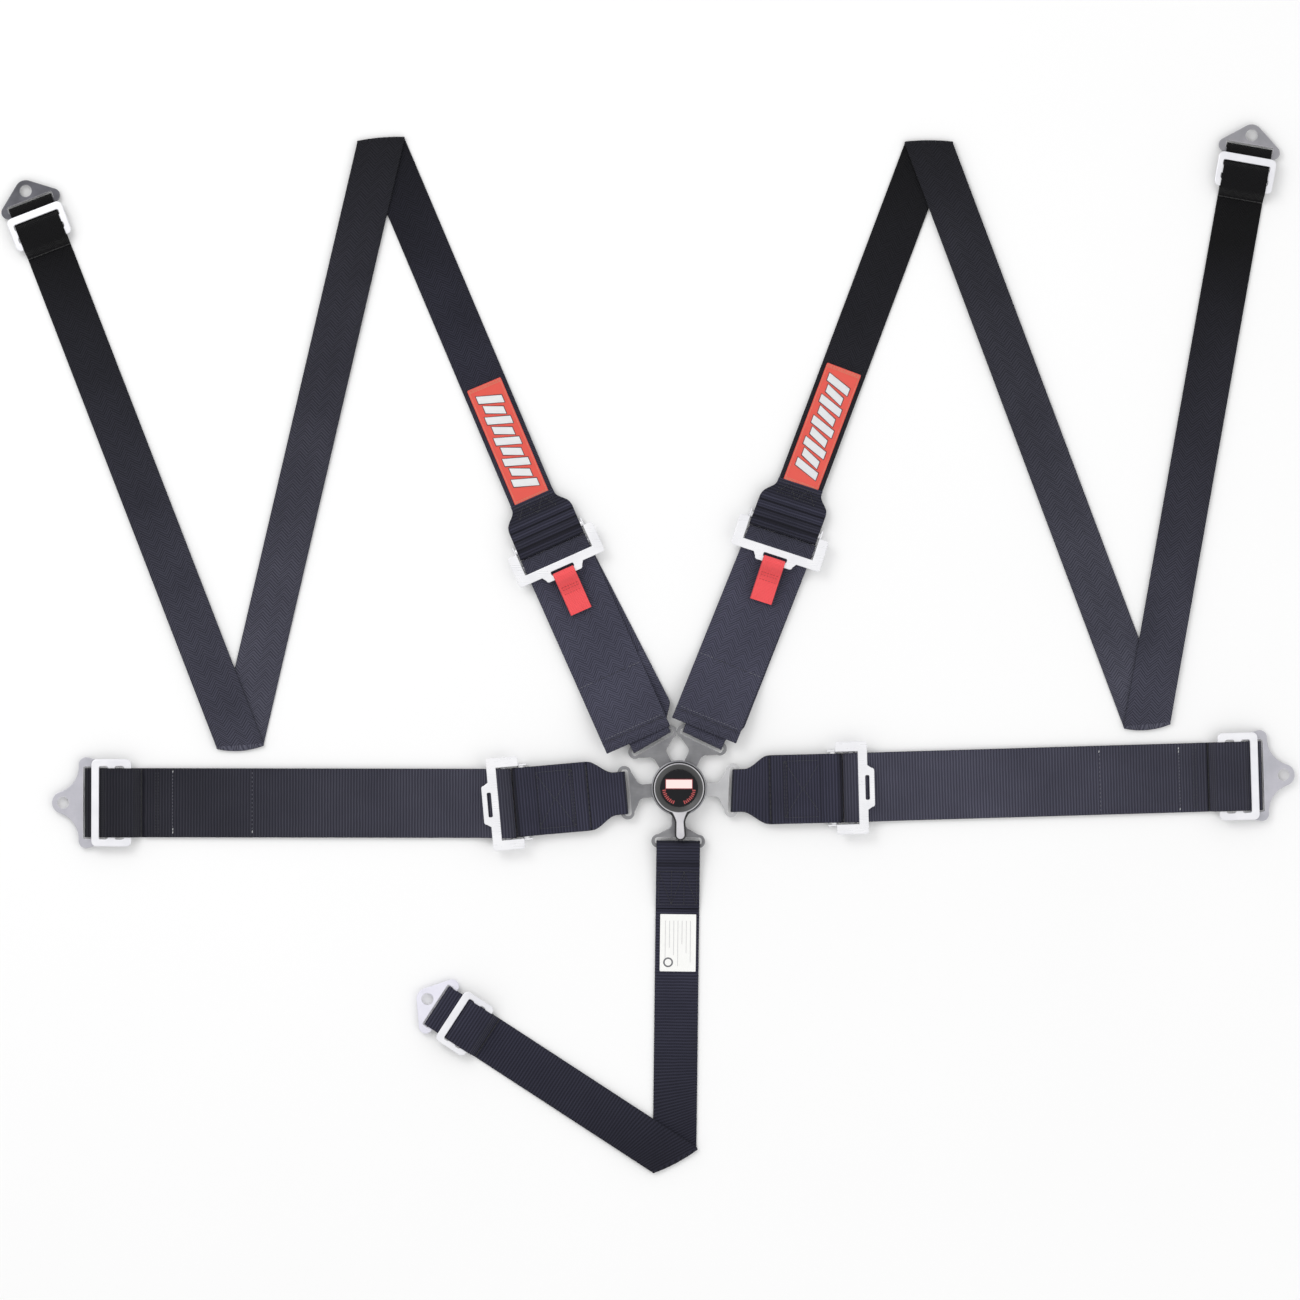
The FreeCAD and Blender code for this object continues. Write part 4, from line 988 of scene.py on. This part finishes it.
def shoulder_tail(name, grip):
    """Free end: round the grip bar, under the handle and down over the lower belt to a rolled hem."""
    direction = Vector(JOINTS[name + "_tail_feed"]["axis"])
    course = Course(grip, grip - direction * 100.0)
    end = SHOULDER_TAIL
    rest = FLOOR_Z + WEBBING + 1.6
    over = 16.5
    under = over - WEBBING - 0.1
    free = rounded([
        (0.0, BAR_Z + GRIP_TURN_R),
        (7.0, BAR_Z + GRIP_TURN_R),
        (12.5, 12.4),
        (29.0, rest),
        (end - 76.0, rest),
        (end - 22.0, over),
        (end - 1.0, over),
    ])
    roll = arc(end - 1.0, over - (over - under) / 2, (over - under) / 2, 90.0, -90.0, 8)
    line = grip_turn() + free[1:-1] + roll + [(end - 16.0, under)]
    slant = joint_lean(course, name + "_adjuster_tilt")
    loose = slack(0.18, 90.0)

    def relief(x, y, side):
        curl = 0.5 * smoothstep(end - 70.0, end, x) * (y / WIDE) ** 2
        return loose(x, y, side) * smoothstep(30.0, 50.0, x) - curl

    # Painted shade on the turn round the grip bar, and painted shade bands that stand for the hem's ribs.
    def shade(x):
        ribs = 0.2 * ripple(HEM_RIB, x) * smoothstep(end - 15.0, end - 13.0, x)
        return 0.32 * (1 - smoothstep(3.0, 9.0, x)) + ribs

    tail = belt(name + "_free_end", course, line, WIDE, TAIL_CLOTH, step=2.5, relief=relief, shade=shade,
                lean=lambda s: slant * (1 - smoothstep(15.0, 60.0, s)))
    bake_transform(tail)
    settle(tail, name + "_tail")
    shoulder_tail_stitches(name, course, between([(x, z + 0.95) for x, z in free]))


def shoulder_tail_stitches(name, course, surface):
    """Rows on the hem and a tacked row where the tail starts to rise."""
    end = SHOULDER_TAIL
    tack = end - 77.0
    hem = Thread(name + "_hem_stitch", GREY_THREAD, name + "_tail", radius=0.4)
    hem.across(course, surface, end - 14.5, 34.0, stitch=2.2, gap=1.3)
    for low, high in ((-36.0, -20.0), (22.0, 36.0)):
        hem.seam(course, surface, (tack, low), (tack, high), stitch=2.4, gap=1.2)
    hem.finish()
    dark = Thread(name + "_cross_stitch", DARK_THREAD, name + "_tail", radius=0.3)
    dark.seam(course, surface, (tack, -18.0), (tack, 20.0), stitch=2.2)
    dark.across(course, surface, end - 11.5, 35.0, stitch=2.2)
    dark.finish()


def upper_belt(name, course, following, cloth):
    """2 inch strap sewn between the layers of a wide loop round the crossbar."""
    lean_end = course.lean(crease(course, following))
    length = course.length
    strap_z = between([(0.0, BAR_Z), (UPPER_FLAT, FLOOR_Z)])
    line = rounded([(20.0, strap_z(20.0)), (UPPER_FLAT, FLOOR_Z), (length, FLOOR_Z)], 30.0, 8)
    strap = belt(name + "_upper_strap", course, line, NARROW, cloth,
                 lean=lambda s: lean_end * smoothstep(length - 120.0, length - 20.0, s))
    settle(strap, name + "_upper_belt", name + "_upper")
    crossbar_loop(name, course, strap_z)
    patch(name, course, strap_z)


def crossbar_loop(name, course, strap_z):
    """Wide loop round the adjuster's crossbar, puckered where the narrower strap is sewn in."""
    slant = joint_lean(course, name + "_upper_level")
    layer = WEBBING + 0.05
    top = rounded([
        (48.0, strap_z(48.0) + layer),
        (36.0, strap_z(36.0) + layer + 0.1),
        (25.0, 10.0),
        (18.0, 8.9),
        (12.0, 9.7),
    ], 4.0)
    low = rounded([(12.0, 5.4), (30.0, strap_z(30.0) - layer), (48.0, strap_z(48.0) - layer)], 4.0)
    line = top[:-1] + eye_line(0.0, LOOP_R, 1, 12.0, 9.7, 5.4, bulge=EYE_BULGE) + low[1:]

    def half(x):
        return mix(WIDE, NARROW + 0.4, smoothstep(22.0, 45.0, x) * 0.6 + 0.4 * smoothstep(28.0, 42.0, x))

    def valley(x):
        return sum(depth * hump(at, 1.9, x) for at, depth in ((-0.5, 0.7), (9.5, 1.0), (20.0, 0.9)))

    def relief(x, y, side):
        sewn = smoothstep(24.0, 34.0, x) * (1 - smoothstep(40.0, 48.0, x))
        return 0.3 * math.sin(y * 0.5 + x * 0.3) * sewn - valley(x) * smoothstep(4.0, 8.0, x)

    # Painted shade on the turn by the rail, in the valleys and over the sewn part.
    def shade(x):
        rail = 0.3 * (1 - smoothstep(5.0, 8.0, x))
        return rail + 0.8 * valley(x) + 0.45 * smoothstep(24.0, 30.0, x) * (1 - smoothstep(40.0, 46.0, x))

    loop = belt(name + "_crossbar_loop", course, line, half, LOOP_CLOTH, relief=relief, shade=shade, step=1.5,
                middle=24, lean=lambda s: slant)
    settle(loop, body=name + "_upper")
    thread = Thread(name + "_loop_stitch", DARK_THREAD, name + "_upper")
    surface = between([(x, z + 1.2) for x, z in top])
    for x in (32.0, 36.0, 40.0, 44.0):
        thread.across(course, surface, x, 23.0, stitch=2.0)
    thread.path(course, surface, [(30.0, -22.0), (45.0, -11.0), (30.0, 0.0), (45.0, 11.0), (30.0, 22.0)])
    thread.finish()


def middle_belt(name, before, course, after):
    """The stretch between a shoulder belt's two folds, its ends cut along the creases."""
    lean_start = course.lean(crease(before, course))
    lean_end = course.lean(crease(course, after))
    length = course.length
    piece = belt(name + "_middle_strap", course, [(0.0, FOLD_Z), (length, FLOOR_Z)], NARROW, MIDDLE_CLOTH,
                 step=6.0, lean=lambda s: mix(lean_start, lean_end, s / length))
    settle(piece, name + "_middle_belt", name + "_middle")


def end_belt(name, before, course, cloth):
    """Last stretch of a 2 inch belt with its turn round the bracket and its way through the slide."""
    gap = GAP[name]
    foot = gap + NARROW_SLIDE + 10.0
    lean_start = course.lean(crease(before, course))
    line = [(0.0, FOLD_Z)] + ending_line(course.length, NARROW_BAR, NARROW_BULGE, gap, NARROW_SLIDE, foot)
    piece = belt(name + "_end_strap", course, line, NARROW, cloth, step=4.0,
                 lean=lambda s: lean_start * (1 - smoothstep(0.0, 90.0, s)))
    settle(piece, name + "_end_belt", name + "_end")
    darken_belt_end(name, course, gap + NARROW_SLIDE, NARROW, name + "_end")


def sub_belt():
    bar = joint_point("sub_lift")
    corner = joint_point("sub_fold")
    course = Course(bar, corner)
    last = Course(corner, bolt_point("sub"))
    sub_strap(course, course.lean(crease(course, last)))
    sub_stitches(course)
    end_belt("sub", course, last, SUB_CLOTH)
    turn = fold("sub_turn", course, last, corner, SUB_HALF + 0.5, SUB_CLOTH, 2.0)
    blend_fold(turn)
    label(course)


def sub_strap(course, lean_end):
    """The sub belt from its tongue to its fold, with a ribbed sewn layer at the tongue."""
    double = FLOOR_Z + WEBBING + 0.05
    line = [(SUB_HEM, double), (62.0, double)] + tongue_eye()
    line += rounded([(EYE_REACH, BAR_Z - HALF_GAP), (60.0, FLOOR_Z), (course.length, FLOOR_Z)], 12.0)[1:]
    total = sum(math.dist(a, b) for a, b in zip(line, line[1:]))

    def sewn(x):
        return 1 - smoothstep(60.0, SUB_HEM, x)

    def relief(x, y, side):
        if x >= SUB_HEM:
            return 0.0
        ridges = 0.22 * math.sin(2 * math.pi * x / SUB_RIB) * sewn(x) * smoothstep(-6.0, 0.0, x)
        return ridges - 0.5 * hump(19.0, 3.0, x)

    # Painted shade in the groove, at the end of the sewn layer, between its ribs and round the tongue bar.
    def shade(x):
        ribs = 0.22 * ripple(SUB_RIB, x) * sewn(x) if x > -2.0 else 0.4
        return max(0.55 * hump(19.5, 4.0, x), 0.8 * hump(SUB_HEM + 1.0, 0.9, x), ribs)

    strap = belt("sub_strap", course, line, SUB_HALF, SUB_CLOTH, step=1.4, relief=relief, shade=shade,
                 lean=lambda s: lean_end * smoothstep(total - 120.0, total, s))
    settle(strap, "sub_belt", "sub_belt")


def sub_stitches(course):
    """Rows along and across the sewn layer, with a zigzag."""
    thread = Thread("sub_sewn_block", DARK_THREAD, "sub_belt")
    double = FLOOR_Z + WEBBING
    surface = between([(18.0, BAR_Z + 2.1), (62.0, double + 1.2), (SUB_HEM, double + 1.1)])
    start, end, half = 28.0, 64.0, 21.0
    rows = (-half, -half / 3, half / 3, half)
    for x in (start, end):
        thread.across(course, surface, x, half, stitch=2.2)
    for y in rows:
        thread.seam(course, surface, (start, y), (end, y), stitch=2.2)
    thread.path(course, surface, list(zip((start, end, start, end), rows)))
    thread.finish()


# ---- Patches, tabs, label and marks ----

def slab(name, course, outline, low, high, material, body, inset=0.5):
    """A flat sewn-on shape with rounded rims from its outline in plan; low and high are heights at x."""
    mesh = bmesh.new()
    weave = mesh.loops.layers.uv.new("weave")
    centre = [sum(point[k] for point in outline) / len(outline) for k in (0, 1)]
    rings = []
    for pull, share in ((0.0, 0.0), (0.0, 0.55), (inset * 0.4, 0.88), (inset, 1.0)):
        ring = []
        for point in outline:
            x, y = (mix(point[k], centre[k], pull / math.dist(point, centre)) for k in (0, 1))
            ring.append(mesh.verts.new(course.at(x, y, mix(low(x), high(x), share))))
        rings.append(ring)
    count = len(outline)
    for a, b in zip(rings, rings[1:]):
        for j in range(count):
            k = (j + 1) % count
            mesh.faces.new([a[j], a[k], b[k], b[j]])
    mesh.faces.new(rings[-1])
    mesh.faces.new(list(reversed(rings[0])))
    for face in mesh.faces:
        for loop in face.loops:
            point = loop.vert.co.xy / MM - course.start
            loop[weave].uv = (point.dot(course.along) * MM, point.dot(course.left) * MM)
    piece = finished(name, mesh, material, body)
    for polygon in piece.data.polygons:
        polygon.use_smooth = len(polygon.vertices) == 4
    return piece


def rectangle(x0, x1, half, corner=1.5, steps=4, offset=0.0):
    """Outline of a rectangle with rounded corners, its middle `offset` to the left of the course."""
    points = []
    for cx, cy, first in ((x1, half, 0), (x0, half, 90), (x0, -half, 180), (x1, -half, 270)):
        ox = cx - corner if cx == x1 else cx + corner
        oy = cy - corner if cy > 0 else cy + corner
        for i in range(steps + 1):
            turn = math.radians(first + 90 * i / steps)
            points.append((ox + corner * math.cos(turn), oy + corner * math.sin(turn) + offset))
    return points


def ring(name, course, centre, inner, outer, low, high, first, last, material, body, slot):
    """A flat ring or part of one."""
    mesh = bmesh.new()
    full = last - first >= 360
    steps = max(4, int((last - first) / 6))
    sections = []
    for i in range(steps + (0 if full else 1)):
        turn = math.radians(first + (last - first) * i / steps)
        c, s = math.cos(turn), math.sin(turn)
        sections.append([
            mesh.verts.new(course.at(centre[0] + r * c, centre[1] + r * s, z))
            for r, z in ((inner, low), (inner, high), (outer, high), (outer, low))
        ])
    spans = list(zip(sections, sections[1:])) + ([(sections[-1], sections[0])] if full else [])
    for a, b in spans:
        for j in range(4):
            k = (j + 1) % 4
            mesh.faces.new([a[j], a[k], b[k], b[j]])
    if not full:
        mesh.faces.new(sections[0])
        mesh.faces.new(list(reversed(sections[-1])))
    finished(name, mesh, material, body, smooth=False)


def patch(name, course, strap_z):
    """Red embroidered patch with a sewn border and a row of slanted bars."""
    body = name + "_upper"

    def above(rise):
        """Height at x of a layer that much above the patch's face."""
        return lambda x: strap_z(x) + WEBBING / 2 + 1.2 + rise

    outline = rectangle(PATCH_START, PATCH_END, PATCH_HALF)
    cloth = slab(name + "_patch_cloth", course, outline, above(-1.2), above(0.0), PATCH_RED, body)
    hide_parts(name + "_patch")
    patch_border(name, course, above(0.1))
    for i in range(9):
        x = PATCH_START + 16.0 + i * 12.4
        reach = 13.5 if i % 2 == 0 else 10.5
        slab(f"{name}_patch_bar_edge_{i}", course, slanted_bar(x, reach, 0.7), above(0.0), above(0.35),
             PATCH_BLACK, body, 0.3)
        slab(f"{name}_patch_bar_{i}", course, slanted_bar(x, reach, 0.0), above(0.2), above(0.75),
             PATCH_WHITE, body)


def patch_border(name, course, surface):
    """Rows of light thread round the patch, three of them at its ends."""
    border = Thread(name + "_patch_border", PATCH_THREAD, name + "_upper", radius=0.3)
    inset = 1.6
    x0, x1, half = PATCH_START + inset, PATCH_END - inset, PATCH_HALF - inset
    corners = [(x0, -half), (x1, -half), (x1, half), (x0, half), (x0, -half)]
    border.path(course, surface, corners, stitch=2.6, gap=0.3)
    for extra in (3.0, 4.2):
        for x in (PATCH_START + extra, PATCH_END - extra):
            border.across(course, surface, x, half, stitch=2.6, gap=0.3)
    border.finish()


def slanted_bar(x, reach, rim):
    """Outline of a bar that leans along the belt, wider by the rim on every side."""
    slant = 4.5
    x0, x1, y = x - rim, x + 8.6 + rim, reach + rim
    return [(x0 - slant, -y), (x1 - slant, -y), (x1 + slant, y), (x0 + slant, y)]


def pull_tab(name):
    """Red pull loop round the handle's rim, its two layers hanging over the tail."""
    pivot = joint_point(name + "_tab_swing")
    grip = joint_point(name + "_adjuster_tilt")
    course = Course(pivot, pivot + (pivot - grip))
    z = pivot[2]
    gap = 0.75              # from the plane between the two layers to the middle of each
    tip = 45.0
    fall = math.radians(9.0)
    cosine, sine = math.cos(fall), math.sin(fall)
    curl = lambda x: 1.8 * smoothstep(12.0, tip + 1.0, x)
    eye = eye_line(0.0, 3.7, 1, 11.0, z + gap, z - gap, z)
    line = rounded([(tip, z + gap), (30.0, z + gap + 0.1), eye[0]], 4.0) + eye[1:-1]
    line += rounded([eye[-1], (30.0, z - gap), (tip, z - gap)], 4.0)
    line += arc(tip, z, gap, -90.0, 90.0, 6)[1:]
    line = [(x * cosine + (pz - z) * sine, z - x * sine + (pz - z) * cosine + curl(x)) for x, pz in line]
    # Painted shade: a darker band across the part of the tab nearer the handle, where it bends down over the rim.
    tab = belt(name + "_pull_loop", course, line, 12.4, TAB_RED, thickness=1.35, closed=True, step=1.5,
               middle=6, shade=lambda x: 0.13 * smoothstep(4.0, 8.0, x) * (1 - smoothstep(19.0, 24.0, x)),
               relief=lambda x, y, side: 0.12 * (1 + math.sin(x * 0.35)) * smoothstep(8.0, 20.0, x))
    settle(tab, name + "_pull_tab", name + "_tab")
    red_thread = thread_material(name + "_tab_thread", (0.62, 0.03, 0.03))
    seam = Thread(name + "_tab_stitch", red_thread, name + "_tab", 0.3)
    surface = lambda x: z + gap + 1.0 - x * math.tan(fall) + curl(x)
    for x in (14.0, 17.0, 22.0):
        seam.across(course, surface, x, 10.0, stitch=2.0)
    seam.finish()


def label(course):
    """White satin label with plain grey rules and a ring."""
    body, slot = "sub_belt", "label_white"
    low = FLOOR_Z + WEBBING / 2
    top = low + 0.5
    middle = 1.0            # the label lies this far to the left of the belt's middle
    outline = rectangle(75.0, 138.0, 19.8, 0.8, offset=middle)
    cloth = slab("sub_label_cloth", course, outline, level(low), level(top), LABEL_WHITE, body, 0.3)
    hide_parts("sub_label")
    for i, reach in enumerate((44.0, 30.0, 38.0, 50.0, 26.0, 36.0, 46.0)):
        outline = rectangle(82.0, 82.0 + reach, 0.28, 0.2, 2, middle - 14.0 + 4.6 * i)
        slab(f"sub_label_rule_{i}", course, outline, level(top - 0.02), level(top + 0.06), FAINT_INK, body,
             0.1)
    ring("sub_label_ring", course, (128.0, -9.6), 3.7, 5.4, top - 0.02, top + 0.08, 0, 360, LABEL_INK, body,
         slot)


def cap_marks():
    """Printed marks on the cap: a light bar in a red frame and a row of ticks either side of the lever."""
    red = plastic("mark_red", (0.30, 0.012, 0.02), 0.4, (0.4, 0.05, 0.06))
    tick_red = plastic("tick_red", (0.42, 0.05, 0.05), 0.4, (0.5, 0.12, 0.12))
    pale = plastic("mark_pale", (0.98, 0.76, 0.73), 0.35, (0.98, 0.86, 0.85))
    body, slot = "lever", "cap_black"
    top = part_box("cap_disc")[1].z / MM
    course = Course((0.0, 0.0), (1.0, 0.0))
    for name, outline, low, high, material in (
        ("cap_bar_frame", rectangle(-15.0, 15.0, 5.5, 0.6, offset=4.6), top - 0.05, top + 0.12, red),
        ("cap_bar", rectangle(-14.3, 14.3, 4.7, 0.4, offset=4.6), top, top + 0.2, pale),
    ):
        slab(name, course, outline, level(low), level(high), material, body, 0.15)
    for side, first in (("left", 186.0), ("right", 289.0)):
        for i in range(9):
            start = first + i * 7.6
            inner = 14.6 + 0.7 * (i % 2)
            ring(f"cap_tick_{side}_{i}", course, (0.0, 0.0), inner, 18.4, top - 0.05, top + 0.12, start,
                 start + 4.2, tick_red, body, slot)


# ---- Stage, in metres ----

FLOOR_DROP = 0.0006             # keeps the floor just clear of the webbing
PICTURE_WIDTH = 1.430
PICTURE_PLACE = (-0.0319, 0.1518, 0.006)
LAMPS = (
    ("key", (-1.6, 1.8, 2.6), 26.0, 1.6),
    ("fill", (2.0, -1.2, 2.4), 10.0, 2.2),
)


def pale_floor():
    mesh = bmesh.new()
    bmesh.ops.create_grid(mesh, x_segments=4, y_segments=4, size=12.0)
    data = bpy.data.meshes.new("floor")
    mesh.to_mesh(data)
    mesh.free()
    s = Shader("floor_paper")
    s.set(Base_Color=s.mixed(s.noise(3.0), (0.93, 0.93, 0.93), (0.91, 0.91, 0.91)), Roughness=0.9)
    data.materials.append(s.material)
    floor = bpy.data.objects.new("floor", data)
    floor.location.z = -FLOOR_DROP
    bpy.context.scene.collection.objects.link(floor)


def studio_light():
    """White surroundings and two large soft lamps that the camera doesn't see."""
    world = bpy.data.worlds.new("studio")
    world.use_nodes = True
    background = world.node_tree.nodes["Background"]
    background.inputs[0].default_value = (1.0, 1.0, 1.0, 1.0)
    background.inputs[1].default_value = 0.88
    bpy.context.scene.world = world
    for name, place, power, size in LAMPS:
        light = bpy.data.lights.new(name, "AREA")
        light.energy = power
        light.size = size
        lamp = bpy.data.objects.new(name, light)
        lamp.location = place
        lamp.rotation_euler = (Vector((0, 0.15, 0)) - Vector(place)).to_track_quat("-Z", "Y").to_euler()
        lamp.visible_camera = False
        bpy.context.scene.collection.objects.link(lamp)


def overhead_camera():
    """Long-lens camera straight above the harness."""
    data = bpy.data.cameras.new("camera")
    data.lens = 200.0
    data.clip_end = 100.0
    camera = bpy.data.objects.new("camera", data)
    camera.location = Vector(PICTURE_PLACE) + UP * PICTURE_WIDTH * data.lens / data.sensor_width
    bpy.context.scene.collection.objects.link(camera)
    bpy.context.scene.camera = camera
    bpy.context.scene.view_settings.view_transform = "Standard"


dress_cad_nodes()
for side in ("left", "right"):
    lap_belt(side)
    shoulder_belt(side)
    pull_tab(side + "_shoulder")
sub_belt()
cap_marks()
pale_floor()
studio_light()
overhead_camera()
